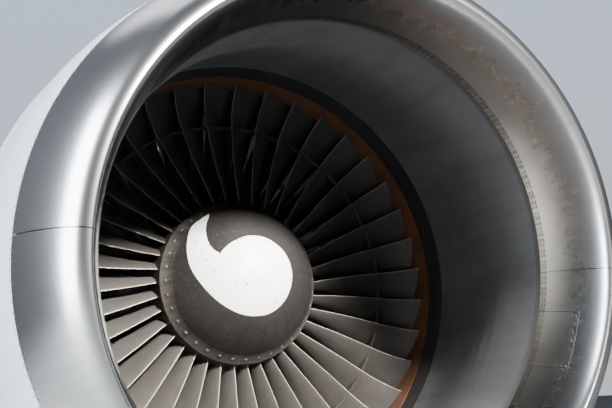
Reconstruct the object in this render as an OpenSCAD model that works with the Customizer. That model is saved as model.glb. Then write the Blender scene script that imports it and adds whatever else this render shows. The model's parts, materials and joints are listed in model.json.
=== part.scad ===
// High-bypass turbofan with its nacelle: inlet cowl, fan, core, fan cowl doors and thrust reverser halves.
// The engine is drawn along its own shaft: z is the station aft of the fan case's front flange, x is to the
// right seen from the front, and y is down. engine_frame() then hangs it under the mount beam's top face.

/* [Inlet cowl] */
// Angle by which the inlet points down, degrees
inlet_droop = 6; // [0:0.5:8]
// Station of the lip's foremost edge ahead of the fan case flange
lip_reach = 910; // [860:5:960]
// Radius of the lip's foremost edge
highlight_r = 749; // [744:1:756]
// Distance of the throat ahead of the fan case flange
throat_reach = 496; // [470:2:520]
// Radius of the throat
throat_r = 693; // [685:1:700]
// Distance of the widest part of the lip's outer curve ahead of the flange
crown_reach = 96; // [80:2:120]
// Fullness of the lip's outer curve
lip_fullness = 1.17; // [1.05:0.01:1.4]
// Distance of the lip's inner seam ahead of the flange
inner_seam_reach = 657; // [640:1:670]
// Distance of the lip's outer seam ahead of the flange
outer_seam_reach = 616; // [600:1:640]
// Thickness of the lip skin and of the outer barrel
skin_t = 4; // [3:0.5:6]
// Thickness of the sound-absorbing inner barrel
barrel_t = 22; // [18:1:26]
// Gap between neighbouring panels
panel_gap = 1.6; // [1.2:0.1:2.5]

/* [Nacelle] */
// Outer radius of the nacelle at the inlet's aft edge
nacelle_front_r = 942; // [938:1:946]
// Largest outer radius of the nacelle
nacelle_r = 950; // [948:1:960]
// Thickness of the fan cowl doors and of the sleeves' outer skin
cowl_t = 10; // [8:1:12]
// Gap between doors, sleeves and inlet
door_gap = 4; // [3:0.5:6]
// Station of the fan cowl doors' aft edge
cowl_aft = 862; // [854:1:864]
// Station of the reverser's exit edge
duct_exit = 1950; // [1930:5:1990]
// Outer radius at the reverser's exit edge
duct_exit_r = 745; // [735:1:755]
// Largest angle by which the doors and reverser halves open
door_swing = 45; // [30:1:50]

/* [Fan] */
// Number of fan blades
fan_blade_count = 38; // [34:1:40]
// Radius of the fan blade tips
fan_tip_r = 762; // [758:1:764]
// Running clearance between the blade tips and the rub strip
fan_tip_gap = 3; // [2:0.5:5]
// Station of the fan blades' leading edges
fan_front = 185; // [180:1:190]
// Chord of the fan blade at its root
fan_root_chord = 120; // [110:1:126]
// Chord of the fan blade at its tip
fan_tip_chord = 175; // [160:1:185]
// Angle of the root section to the shaft
fan_root_stagger = 16; // [10:1:22]
// Angle of the tip section to the shaft
fan_tip_stagger = 61; // [55:1:64]
// Radius of the part-span shroud
mid_shroud_r = 625; // [600:1:650]
// Radius of the fan disc's rim
disc_rim_r = 284; // [278:1:288]
// Depth of the dovetail slots in the disc's rim
dovetail_depth = 38; // [30:1:42]

/* [Spinner] */
// Radius of the spinner's aft rim
spinner_r = 300; // [296:1:304]
// Length of the rounded dome
dome_length = 190; // [170:1:210]
// Radius at the joint of dome and rear cone
dome_r = 270; // [262:1:276]
// Axial length of the rear cone
cone_length = 50; // [44:1:56]
// Number of balance screws round the rear cone
balance_screw_count = 36; // [24:1:40]

/* [Fan case] */
// Length of the fan case
fan_case_length = 640; // [630:1:650]
// Radius of the fan case's front liner
front_liner_r = 765; // [763:1:767]
// Station of the rub strip's front edge
rub_strip_front = 100; // [90:1:110]
// Station of the rub strip's aft edge
rub_strip_aft = 330; // [320:1:340]
// Radius inside the fan case wall, behind the liners
fan_case_bore_r = 788; // [784:1:792]
// Wall thickness of the fan case
fan_case_t = 10; // [8:1:12]
// Height of the fan case's flanges
flange_h = 30; // [24:1:32]
// Number of bolts that hold the inlet to the fan case
inlet_bolt_count = 24; // [18:2:36]
// Diameter of the inlet bolts
inlet_bolt_d = 12; // [8:1:14]

/* [Core] */
// Number of outlet guide vanes
guide_vane_count = 60; // [48:2:72]
// Number of struts in the fan frame
frame_strut_count = 12; // [8:4:16]
// Radius of the splitter's leading edge
splitter_r = 398; // [394:1:402]
// Outer radius of the low-pressure shaft
low_shaft_r = 58; // [52:1:62]
// Wall thickness of the low-pressure shaft
low_shaft_t = 10; // [8:1:14]
// Outer radius of the high-pressure shaft
high_shaft_r = 96; // [90:1:100]
// Number of compressor stages
compressor_stages = 9; // [7:1:9]
// Number of low-pressure turbine stages
turbine_stages = 4; // [3:1:4]
// Number of fuel nozzles
fuel_nozzle_count = 20; // [16:1:24]
// Running clearance of the inner rotors
rotor_gap = 3; // [2.5:0.5:4]

/* [Mount] */
// Height of the mount beam's top face above the shaft
axis_drop = 1000; // [995:1:1020]
// Station of the centre of the mount beam's bolt pattern
mount_station = 1150; // [1120:5:1180]
// Half of the mount beam's width
beam_half_w = 85; // [80:1:88]
// Depth of the mount beam
beam_h = 60; // [50:1:64]
// Hole spacing across the mount beam
mount_pitch_x = 110; // [90:1:120]
// Hole spacing along the mount beam
mount_pitch_y = 600; // [500:5:700]
// Diameter of the mount beam's bolt holes
mount_hole_d = 26; // [20:1:30]

/* [Hidden] */

$fn = 180;
small_fn = 32;
// Seat clearance between parts that rest against each other
seat = 0.3;
curve_steps = 10;

// Profile helpers: a profile is a list of [radius, station] points
function lip_inner(inset, a) = [
    highlight_r - (highlight_r - throat_r - inset) * sin(a),
    -throat_reach - (lip_reach - throat_reach - inset) * cos(a)
];
function lip_outer(inset, a) = [
    highlight_r + (nacelle_crown_r - highlight_r - inset) * sin(a),
    -crown_reach - (lip_reach - crown_reach - inset) * pow(cos(a), lip_fullness)
];
function inner_lip_angle(reach) = acos((reach - throat_reach) / (lip_reach - throat_reach));
function outer_lip_angle(reach) =
    acos(pow((reach - crown_reach) / (lip_reach - crown_reach), 1 / lip_fullness));
function spaced(from, to, steps) = [for (i = [0:steps]) from + (to - from) * i / steps];
function reversed(points) = [for (i = [len(points) - 1:-1:0]) points[i]];
function smooth(u) = (1 - cos(180 * u)) / 2;
function shifted(points, dr) = [for (p = points) [p[0] + dr, p[1]]];
// A profile point kept ahead of station s
function ended(p, s) = [p[0], min(p[1], s)];
// Radius at station s on a line of [radius, station] points
function radius_at(line, s, i = 0) =
    i >= len(line) - 2 || s <= line[i + 1][1]
        ? line[i][0] + (line[i + 1][0] - line[i][0]) * (s - line[i][1]) / (line[i + 1][1] - line[i][1])
        : radius_at(line, s, i + 1);

nacelle_crown_r = nacelle_front_r - 10;
inner_seam_a = inner_lip_angle(inner_seam_reach);
outer_seam_a = outer_lip_angle(outer_seam_reach);
liner_front = 6;

// Turned shapes
module turned(profile) { rotate_extrude() polygon(profile); }
module ring(r_in, r_out, from, to) {
    turned([[r_in, from], [r_out, from], [r_out, to], [r_in, to]]);
}
module wall(line, t) { turned(concat(line, reversed(shifted(line, t)))); }
// A block by its sides: x range, height range above the shaft and station range
module block(x, h, s) { translate([x[0], -h[1], s[0]]) cube([x[1] - x[0], h[1] - h[0], s[1] - s[0]]); }
module rod_x(d, x0, x1, h, s) { translate([x0, -h, s]) rotate([0, 90, 0]) cylinder(d = d, h = x1 - x0,
    $fn = small_fn); }
module rod_s(d, x, h, s0, s1) { translate([x, -h, s0]) cylinder(d = d, h = s1 - s0, $fn = small_fn); }
module rod_h(d, x, h0, h1, s) { translate([x, -h0, s]) rotate([90, 0, 0]) cylinder(d = d, h = h1 - h0,
    $fn = small_fn); }
module around(count, start = 0) { for (i = [0:count - 1]) rotate([0, 0,
    start + 360 * i / count]) children(); }

// Radial plates: the outline is [station, tangent] points, pushed from r0 out to r1 at the top of the x axis
module radial_plate(outline, r0, r1) {
    translate([r0, 0, 0]) rotate([0, 90, 0]) linear_extrude(height = r1 - r0)
        polygon([for (p = outline) [-p[0], p[1]]]);
}
// Outline of a cambered vane: chord, thickness, angle at entry and at exit, all from its front edge
function vane_line(chord, entry, exit, u) =
    [chord * (u * cos(entry) + u * u / 2 * (cos(exit) - cos(entry))),
     chord * (u * sin(entry) + u * u / 2 * (sin(exit) - sin(entry)))];
function vane_outline(chord, t, entry, exit, steps = 4) = concat(
    [for (u = spaced(0, 1, steps)) vane_line(chord, entry, exit, u) + [0,
        t / 2 * sin(180 * (0.06 + 0.9 * u))]],
    [for (u = reversed(spaced(0, 1, steps)))
        vane_line(chord, entry, exit, u) - [0, t / 2 * sin(180 * (0.06 + 0.9 * u))]]);
// A toothed disc outline: teeth as thin straight vanes between a root and a tip radius
function toothed(count, r_root, r_tip, share) = [for (i = [0:count - 1], k = [0:3])
    let (a = 360 / count * (i + [0, share, share + 0.02, 1][k] * 1),
         r = [r_tip, r_tip, r_root, r_root][k]) [r * cos(a), r * sin(a)]];
module rotor_row(count, r_root, r_tip, s, chord, share = 0.22) {
    translate([0, 0, s]) linear_extrude(height = chord) difference() {
        polygon(toothed(count, r_root, r_tip, share));
        circle(r = r_root - 6);
    }
}
module vane_row(count, r_tip, r_root, s, chord, share = 0.22) {
    translate([0, 0, s]) linear_extrude(height = chord) difference() {
        circle(r = r_root + 2);
        polygon(toothed(count, r_tip, r_root, 1 - share));
    }
}

// Inlet cowl
module drooped() {
    intersection() {
        rotate([inlet_droop, 0, 0]) children();
        translate([-1100, -1100, -1300]) cube([2200, 2200, 1300 - panel_gap / 2]);
    }
}
inner_barrel_front = -inner_seam_reach + panel_gap;
function barrel_line(inset) = concat(
    [for (a = spaced(inner_lip_angle(inner_seam_reach - panel_gap), 90, 5))
        [lip_inner(0, a)[0] + inset, lip_inner(0, a)[1]]],
    [for (u = spaced(0.1, 1, 8))
        [throat_r + (front_liner_r - 3 - throat_r) * smooth(u) + inset, -throat_reach * (1 - u)]],
    [[front_liner_r - 3 + inset, 90]]);
function outer_barrel_line(inset) = concat(
    [for (a = spaced(outer_lip_angle(outer_seam_reach - panel_gap), 90, 7))
        [lip_outer(0, a)[0] - inset, lip_outer(0, a)[1]]],
    [[nacelle_front_r - inset, 0], [nacelle_front_r - inset, 110]]);

lip_inside_line = [for (a = spaced(outer_seam_a / curve_steps, outer_seam_a, curve_steps))
    ended(lip_outer(skin_t, a), -outer_seam_reach)];
module inlet_lip_skin() {
    color("silver") drooped() turned(concat(
        [for (a = spaced(inner_seam_a, 0, curve_steps)) lip_inner(0, a)],
        [for (a = spaced(outer_seam_a / curve_steps, outer_seam_a, curve_steps)) lip_outer(0, a)],
        reversed(lip_inside_line),
        [for (a = spaced(0, inner_seam_a, curve_steps)) ended(lip_inner(skin_t, a), -inner_seam_reach)]));
}
// The front bulkhead's flange carries the lip's and the outer barrel's edges from inside
module inlet_front_bulkhead() {
    web_t = 4;
    s = -outer_seam_reach - 20;
    barrel_inside = outer_barrel_line(skin_t);
    color("burlywood") drooped() difference() {
        turned([
            [radius_at(barrel_line(barrel_t), s) + seat, s], [radius_at(lip_inside_line, s) - seat, s],
            [radius_at(lip_inside_line, s + 14) - seat, s + 14],
                [radius_at(barrel_inside, s + 24) - seat, s + 24],
            [radius_at(barrel_inside, s + 46) - seat, s + 46],
                [radius_at(barrel_inside, s + 46) - seat - web_t, s + 46],
            [radius_at(barrel_inside, s + 24) - seat - web_t, s + 24],
            [radius_at(lip_inside_line, s + web_t) - seat - web_t, s + web_t],
            [radius_at(barrel_line(barrel_t), s + web_t) + seat, s + web_t]
        ]);
        translate([0, 800, s - 5]) cylinder(d = 60, h = 20, $fn = small_fn);
    }
}
module inlet_inner_barrel() {
    color("gray") drooped() turned(concat(barrel_line(0), reversed(barrel_line(barrel_t))));
}
module inlet_outer_barrel() {
    color("aliceblue") drooped() turned(concat(outer_barrel_line(skin_t), reversed(outer_barrel_line(0))));
}
attach_ring_s = [-16, -panel_gap / 2];
bolt_circle_r = fan_case_bore_r + fan_case_t + flange_h / 2;
module inlet_attach_ring() {
    color("dimgray") difference() {
        union() {
            ring(fan_case_bore_r + 8, fan_case_bore_r + fan_case_t + flange_h, attach_ring_s[0],
                attach_ring_s[1]);
            ring(nacelle_front_r - 50, nacelle_front_r - skin_t - 8, attach_ring_s[0] - 30,
                attach_ring_s[0] - 2);
            turned([
                [fan_case_bore_r + fan_case_t + flange_h - 3, attach_ring_s[0]],
                    [nacelle_front_r - 44, attach_ring_s[0] - 20],
                [nacelle_front_r - 44, attach_ring_s[0] - 14],
                    [fan_case_bore_r + fan_case_t + flange_h, attach_ring_s[1]],
            ]);
        }
        around(inlet_bolt_count, 7.5) translate([bolt_circle_r, 0, attach_ring_s[0] - 20])
            cylinder(d = inlet_bolt_d + 1, h = 40, $fn = small_fn);
    }
}
module inlet_bolts() {
    head_h = 8;
    head_d = inlet_bolt_d * 1.7;
    color("slategray") around(inlet_bolt_count, 7.5) translate([bolt_circle_r, 0, 0]) {
        translate([0, 0, attach_ring_s[0] - head_h]) cylinder(d = head_d, h = head_h, $fn = 6);
        translate([0, 0, attach_ring_s[0] - 1]) cylinder(d = inlet_bolt_d,
            h = fan_flange_t + 20 - attach_ring_s[0], $fn = small_fn);
        translate([0, 0, fan_flange_t]) cylinder(d = head_d, h = head_h, $fn = 6);
    }
}

// Fan case and its liners
fan_flange_t = 12;
module fan_case() {
    outer = fan_case_bore_r + fan_case_t;
    rib_h = 12;
    color("darkseagreen") difference() {
        turned(concat(
            [[fan_case_bore_r, 0], [outer + flange_h, 0], [outer + flange_h, fan_flange_t],
             [outer + 4, fan_flange_t], [outer, fan_flange_t + 4]],
            [for (s = [140, 240, 340, 440], p = [[0, -8], [rib_h, -4], [rib_h, 4], [0, 8]]) [outer + p[0],
                s + p[1]]],
            [[outer, fan_case_length - fan_flange_t - 6], [outer + flange_h, fan_case_length - fan_flange_t],
             [outer + flange_h, fan_case_length], [fan_case_bore_r, fan_case_length]]));
        around(inlet_bolt_count, 7.5) translate([bolt_circle_r, 0, -1])
            cylinder(d = inlet_bolt_d + 1, h = fan_flange_t + 2, $fn = small_fn);
    }
}
rub_strip_r = fan_tip_r + fan_tip_gap;
module fan_case_front_liner() {
    back = fan_case_bore_r - seat;
    color("black") turned([
        [front_liner_r, liner_front], [back, liner_front], [back, rub_strip_front - panel_gap],
        [rub_strip_r + 7, rub_strip_front - panel_gap], [front_liner_r, rub_strip_front - 8]
    ]);
}
module fan_rub_strip() {
    back = fan_case_bore_r - seat;
    color("chocolate") ring(rub_strip_r, back, rub_strip_front, rub_strip_aft);
}
module fan_case_aft_liner() {
    back = fan_case_bore_r - seat;
    color("gray") ring(rub_strip_r + 1, back, rub_strip_aft + panel_gap, fan_case_length - 2);
}

// Static core
guide_vane_front = 515;
bypass_inner_r = 412;
booster_bore_r = 391;
booster_hub_r = 335;
module outlet_guide_vanes() {
    vane_chord = 106;
    outer = rub_strip_r + 1 - seat;
    color("lightgray") {
        around(guide_vane_count) translate([0, 0, guide_vane_front + 5])
            radial_plate(vane_outline(vane_chord, 9, -38, 2, 3), bypass_inner_r + 5, outer - 4);
        ring(outer - 7, outer, guide_vane_front, guide_vane_front + 115);
        ring(bypass_inner_r + seat, bypass_inner_r + 7, guide_vane_front, guide_vane_front + 115);
    }
}
booster_rows = [440, 500, 560];
module booster_case() {
    lip_s = 400;
    t = 6;
    color("silver") {
        turned([
            [splitter_r, lip_s], [splitter_r + 7, lip_s + 14], [bypass_inner_r, lip_s + 45],
                [bypass_inner_r, fan_case_length],
            [bypass_inner_r - t, fan_case_length], [bypass_inner_r - t, lip_s + 48],
                [booster_bore_r + t, lip_s + 48],
            [booster_bore_r + t, fan_case_length], [booster_bore_r, fan_case_length],
                [booster_bore_r, lip_s + 40],
            [splitter_r - 3, lip_s + 10],
        ]);
        for (s = booster_rows) vane_row(40, booster_hub_r + rotor_gap, booster_bore_r - 1, s + 34, 20);
    }
}
frame_front = fan_case_length + seat;
frame_aft = 858;
frame_flange_aft = 862;
core_outer_line = [[booster_bore_r, frame_front], [385, 690], [330, 780], [262, 845], [254, frame_aft]];
core_inner_line = [[booster_hub_r, frame_front], [328, 690], [262, 780], [180, 845], [162, frame_aft]];
duct_inner_line = [[bypass_inner_r, frame_front], [424, 760], [432, frame_aft]];
// A line cut off at station s
function trimmed(line, s) = concat([for (p = line) if (p[1] < s) p], [[radius_at(line, s), s]]);
module fan_frame() {
    t = 8;
    inner = rub_strip_r + 1;
    outer = fan_case_bore_r + fan_case_t;
    strut = [130, 24];
    color("slategray") {
        turned([
            [inner, frame_front], [outer + flange_h, frame_front],
                [outer + flange_h, frame_front + fan_flange_t],
            [outer, frame_front + fan_flange_t + 6], [outer, frame_flange_aft - 30],
                [outer + 14, frame_flange_aft - 14],
            [outer + 14, frame_flange_aft], [inner, frame_flange_aft]
        ]);
        turned(concat(
            core_outer_line, reversed(duct_inner_line),
            trimmed(shifted(duct_inner_line, -t), frame_aft - t),
                reversed(trimmed(shifted(core_outer_line, t), frame_aft - t))));
        turned(concat(core_inner_line, reversed(shifted(core_inner_line, -t))));
        turned([[fan_bearing_r + seat, fan_bearing_s], [fan_bearing_r + 8, fan_bearing_s], [330, 662],
            [326, 676],
                [fan_bearing_r + 8, fan_bearing_s + bearing_w],
                    [fan_bearing_r + seat, fan_bearing_s + bearing_w]]);
        turned([[190, 835], [200, 825], [thrust_bearing_r + 14, thrust_bearing_s],
            [thrust_bearing_r + seat, thrust_bearing_s],
                [thrust_bearing_r + seat, thrust_bearing_s + bearing_w],
                    [thrust_bearing_r + 12, thrust_bearing_s + bearing_w]]);
        around(frame_strut_count) translate([0, 0, 705]) {
            radial_plate(vane_outline(strut[0], strut[1], 0, 0), bypass_inner_r + 5, inner + 6);
            radial_plate(vane_outline(70, 14, 0, 0), 300, 372);
        }
    }
}
compressor_front = frame_aft + seat;
compressor_aft = 1332;
compressor_line = [[254, compressor_front], [204, compressor_aft]];
drum_line = [[162, compressor_front + 2], [182, compressor_aft - 2]];
stage_pitch = 50;
blade_chord = 20;
first_stage_s = 876;
function stage_s(i) = first_stage_s + stage_pitch * i;
module compressor_case() {
    t = 12;
    color("darkkhaki") {
        wall(compressor_line, t);
        ring(258, 290, compressor_front, compressor_front + 10);
        ring(212, 250, compressor_aft - 10, compressor_aft);
        for (s = [990, 1160]) ring(radius_at(compressor_line, s) + 2,
            radius_at(compressor_line, s) + t + 12, s, s + 8);
        for (i = [0:compressor_stages - 2]) vane_row(21 + i,
            radius_at(drum_line, stage_s(i) + 44) + rotor_gap,
            radius_at(compressor_line, stage_s(i) + 26) + 1, stage_s(i) + 26, 18);
    }
}
burner_case_r = 318;
burner_front = compressor_aft + seat;
burner_aft = 1572;
nozzle_s = 1366;
module combustor_case() {
    t = 8;
    color("peru") difference() {
        turned([
            [206, burner_front], [250, burner_front], [250, burner_front + 8],
                [burner_case_r - 10, burner_front + 8],
            [burner_case_r + t, burner_front + 20], [burner_case_r + t, burner_aft - 14],
                [345, burner_aft - 10],
            [345, burner_aft], [burner_case_r - 14, burner_aft], [burner_case_r - 14, burner_aft - 8],
            [burner_case_r, burner_aft - 16], [burner_case_r, burner_front + 22],
                [burner_case_r - 12, burner_front + 16],
            [206, burner_front + 16]
        ]);
        around(fuel_nozzle_count) translate([burner_case_r - 10, 0, nozzle_s]) rotate([0, 90, 0])
            cylinder(d = 18, h = 30, $fn = small_fn);
    }
}
liner_front_s = 1388;
module combustor_liner() {
    t = 4;
    color("sienna") turned([
        [216, liner_front_s], [270, liner_front_s], [286, liner_front_s + 16], [290, 1500], [296, burner_aft],
        [296 - t, burner_aft], [290 - t, 1500], [286 - t, liner_front_s + 18], [270 - t, liner_front_s + t],
        [216 + t, liner_front_s + t], [200 + t, liner_front_s + 18], [204 + t, 1500], [232 + t, burner_aft],
        [232, burner_aft], [204, 1500], [200, liner_front_s + 16]
    ]);
}
module fuel_nozzles() {
    stem_r = 243;
    manifold_r = 346;
    color("goldenrod") {
        around(fuel_nozzle_count) {
            translate([stem_r - 8, 0, nozzle_s]) rotate([0, 90, 0]) cylinder(d = 14,
                h = manifold_r - stem_r + 8, $fn = small_fn);
            translate([burner_case_r + 8 + seat, 0, nozzle_s]) rotate([0, 90, 0]) cylinder(d = 32, h = 6,
                $fn = small_fn);
            translate([stem_r, 0, nozzle_s]) cylinder(d = 26, h = liner_front_s - seat - nozzle_s,
                $fn = small_fn);
        }
        translate([0, 0, nozzle_s]) rotate_extrude() translate([manifold_r, 0]) circle(d = 12,
            $fn = small_fn);
    }
}
turbine_front = burner_aft + seat;
turbine_aft = 2070;
turbine_line = [[303, turbine_front], [303, 1642], [346, 1650], [476, turbine_aft]];
turbine_hub_line = [[262, 1650], [292, 2050]];
low_stage_pitch = 100;
function low_stage_s(i) = 1652 + low_stage_pitch * i;
high_blade_s = 1602;
module turbine_case() {
    t = 12;
    color("rosybrown") {
        wall(turbine_line, t);
        ring(304, 345, turbine_front, turbine_front + 10);
        ring(474, 500, turbine_aft - 10, turbine_aft);
        vane_row(32, 236, radius_at(turbine_line, 1580) + 1, turbine_front + 2, 20);
        for (i = [0:turbine_stages - 1]) vane_row(34 + 2 * i,
            radius_at(turbine_hub_line, low_stage_s(i) + 40) + rotor_gap,
            radius_at(turbine_line, low_stage_s(i)) + 1, low_stage_s(i), 38);
    }
}
rear_frame = [turbine_aft + seat, 2240];
rear_frame_r = 478;
module turbine_rear_frame() {
    t = 12;
    hub_r = 200;
    color("dimgray") {
        ring(rear_frame_r, rear_frame_r + t, rear_frame[0], rear_frame[1]);
        ring(rear_frame_r + 2, 500, rear_frame[0], rear_frame[0] + 10);
        ring(rear_frame_r + 2, 500, rear_frame[1] - 10, rear_frame[1]);
        ring(hub_r - t, hub_r, rear_frame[0] + 20, rear_frame[1]);
        turned([
            [turbine_bearing_r + seat, turbine_bearing_s], [hub_r - 4, turbine_bearing_s - 14],
                [hub_r - 4, turbine_bearing_s],
            [turbine_bearing_r + 12, turbine_bearing_s + 14],
                [turbine_bearing_r + 12, turbine_bearing_s + bearing_w],
            [turbine_bearing_r + seat, turbine_bearing_s + bearing_w]
        ]);
        around(frame_strut_count) translate([0, 0, rear_frame[0] + 26])
            radial_plate(vane_outline(120, 16, 0, 0, 6), hub_r - 5, rear_frame_r + 5);
    }
}
nozzle_exit = 2650;
plug_tip = 2950;
module exhaust_nozzle() {
    t = 4;
    color("dimgray") {
        wall([[rear_frame_r, rear_frame[1] + seat], [470, 2350], [440, 2500], [400, nozzle_exit]], t);
        ring(rear_frame_r + 2, 500, rear_frame[1] + seat, rear_frame[1] + 10);
    }
}
module exhaust_plug() {
    t = 4;
    front = rear_frame[1] + seat;
    line = [[200, front], [200, 2310], [182, 2450], [140, 2620], [80, 2800], [24, plug_tip - 24]];
    color("dimgray") {
        turned(concat(line, [[10, plug_tip - 4], [0, plug_tip], [0, plug_tip - t - 2],
            [8, plug_tip - t - 6]], reversed(shifted(line, -t))));
        ring(150, 198, front, front + 8);
    }
}

// Bearings
bearing_w = 34;
fan_bearing_s = 420;
fan_bearing_r = 118;
thrust_bearing_s = 790;
thrust_bearing_r = 142;
turbine_bearing_s = 2140;
turbine_bearing_r = 112;
module ball_bearing(bore_r, outer_r, s, balls) {
    race_t = 9;
    ball_r = (outer_r - bore_r) / 2 - race_t - seat;
    color("lightsteelblue") {
        ring(bore_r + seat, bore_r + race_t, s, s + bearing_w);
        ring(outer_r - race_t, outer_r, s, s + bearing_w);
        around(balls) translate([(bore_r + outer_r) / 2, 0, s + bearing_w / 2]) sphere(r = ball_r,
            $fn = small_fn);
    }
}
module fan_bearing() { ball_bearing(fan_shaft_r, fan_bearing_r, fan_bearing_s, 16); }
module thrust_bearing() { ball_bearing(high_shaft_r, thrust_bearing_r, thrust_bearing_s, 20); }
module turbine_bearing() { ball_bearing(low_shaft_r, turbine_bearing_r, turbine_bearing_s, 12); }

// Accessories round the bottom of the fan case
case_rib_r = fan_case_bore_r + fan_case_t + 12;
module sector(r_in, r_out, s, from, to) {
    rotate([0, 0, from]) translate([0, 0, s[0]]) rotate_extrude(angle = to - from)
        translate([r_in, 0]) square([r_out - r_in, s[1] - s[0]]);
}
gearbox_s = [180, 290];
accessory_r = case_rib_r + 58;
module accessory(a, d, length) {
    rotate([0, 0, a]) translate([accessory_r, 0, gearbox_s[1] + seat]) {
        cylinder(d = d + 14, h = 10, $fn = small_fn);
        cylinder(d = d, h = length, $fn = 64);
        translate([0, 0, length]) cylinder(d1 = d, d2 = d - 24, h = 14, $fn = 64);
    }
}
module accessory_gearbox() {
    color("darkgray") {
        sector(case_rib_r + seat, case_rib_r + 104, gearbox_s, 58, 124);
        for (a = [66, 91, 116]) rotate([0, 0, a]) translate([accessory_r, 0, gearbox_s[0] - 16])
            cylinder(d = 70, h = 20, $fn = 64);
    }
}
module starter() { color("gray") accessory(116, 100, 130); }
module generator() { color("darkgray") accessory(66, 100, 150); }
module fuel_pump() { color("gray") accessory(91, 84, 110); }
tank_a = [-14, 22];
module oil_tank() {
    color("gainsboro") {
        sector(case_rib_r + seat, case_rib_r + 80, [200, 430], tank_a[0], tank_a[1]);
        translate([case_rib_r + 70, 0, 325]) rotate([0, 90, 0]) cylinder(d = 70, h = 26, $fn = 64);
        translate([case_rib_r + 96, -8, 300]) cube([8, 16, 50]);
    }
}

// Mount beam, its hinge ears, and the two mounts
hinge_x = 98;
hinge_h = axis_drop - 55;
knuckle_r = 12;
pin_r = 6;
beam_s = [40, 2300];
cowl_hinges = [90, 440, 790];
half_hinges = [930, 1200, 1500, 1760];
ear_w = 14;
knuckle_w = 26;
module hinge_ear(s) {
    for (side = [-1, 1], end = [-1, 1]) {
        s0 = s + end * (knuckle_w / 2 + 1 + ear_w / 2) - ear_w / 2;
        rod_s(2 * knuckle_r, side * hinge_x, hinge_h, s0, s0 + ear_w);
        block(side > 0 ? [beam_half_w - 2, hinge_x] : [-hinge_x, 2 - beam_half_w],
            [hinge_h - knuckle_r, hinge_h + knuckle_r],
              [s0, s0 + ear_w]);
    }
    for (side = [-1, 1]) rod_s(2 * pin_r, side * hinge_x, hinge_h, s - knuckle_w / 2 - 3,
        s + knuckle_w / 2 + 3);
}
module mount_beam() {
    t = 12;
    color("lightslategray") difference() {
        union() {
            block([-beam_half_w, beam_half_w], [axis_drop - beam_h, axis_drop], beam_s);
            for (s = concat(cowl_hinges, half_hinges)) hinge_ear(s);
        }
        block([t - beam_half_w, beam_half_w - t], [axis_drop - beam_h + t, axis_drop - t],
            [beam_s[0] - 1, beam_s[1] + 1]);
        for (x = [-1, 1], s = [-1, 1]) rod_h(mount_hole_d, x * mount_pitch_x / 2, axis_drop - t - 1,
            axis_drop + 1,
                                             mount_station + s * mount_pitch_y / 2);
    }
}
forward_link_s = [878, 930];
module forward_mount() {
    top = axis_drop - beam_h - seat;
    color("steelblue") {
        block([-60, 60], [300, 420], [frame_aft + seat, frame_aft + 30]);
        block([-45, 45], [330, top], forward_link_s);
        block([-80, 80], [top - 20, top], [forward_link_s[0] - 10, forward_link_s[1] + 20]);
    }
}
module aft_mount() {
    top = axis_drop - beam_h - seat;
    s = [2125, 2175];
    color("steelblue") difference() {
        union() {
            block([-45, 45], [460, top], s);
            block([-103, 103], [430, 540], s);
            block([-80, 80], [top - 20, top], [s[0] - 15, s[1] + 15]);
        }
        translate([0, 0, s[0] - 1]) cylinder(r = rear_frame_r + 12 + seat, h = s[1] - s[0] + 2);
    }
}

// Spinner
spinner_aft = fan_front - 10;
cone_front = spinner_aft - cone_length;
spinner_t = 5;
dome_joint_a = 52;
function dome_point(inset, a) = let (p = dome_r / sin(dome_joint_a),
    q = dome_length / (1 - cos(dome_joint_a)))
    [max(0, (p - inset) * sin(a)), cone_front - panel_gap / 2 + q * cos(dome_joint_a) - (q - inset) * cos(a)];
cone_slope = atan((spinner_r - dome_r) / cone_length);
dome_inside_line = [for (a = spaced(0, dome_joint_a, curve_steps))
    ended(dome_point(spinner_t, a), cone_front - panel_gap / 2)];
// Length of the spigot that centres the dome on the rear cone
spigot_length = 9;
module spinner_dome() {
    color("dimgray") turned(concat(
        [for (a = spaced(0, dome_joint_a, curve_steps)) dome_point(0, a)],
        reversed(dome_inside_line)));
}
module spinner_rear_cone() {
    front = cone_front + panel_gap / 2;
    r = dome_r + panel_gap / 2 * tan(cone_slope);
    spigot = [for (s = [cone_front - panel_gap / 2 - spigot_length, cone_front - panel_gap / 2])
        [radius_at(dome_inside_line, s) - seat, s]];
    color("dimgray") difference() {
        turned([
            [r, front], [spinner_r, spinner_aft], [spinner_r - 50, spinner_aft],
                [spinner_r - 50, spinner_aft - 6],
            [spinner_r - 22, spinner_aft - 6], [r - 14, front + 8], [r - 34, front + 8], [r - 34, front],
            [spigot[1][0] - spinner_t, front], [spigot[0][0] - spinner_t, spigot[0][1]], spigot[0], spigot[1],
            [spigot[1][0], front]
        ]);
        around(balance_screw_count) screw_place() cylinder(d = screw_d + 2 * seat, h = 30, center = true,
            $fn = small_fn);
    }
}
screw_d = 9;
module screw_place() {
    translate([(spinner_r + dome_r) / 2, 0, spinner_aft - cone_length / 2]) rotate([0, 90 + cone_slope, 0])
        children();
}
module balance_screws() {
    color("black") around(balance_screw_count) screw_place() difference() {
        translate([0, 0, -13]) cylinder(d = screw_d, h = 12, $fn = small_fn);
        translate([0, 0, -4]) cylinder(d = 5, h = 4, $fn = 6);
    }
}

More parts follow.
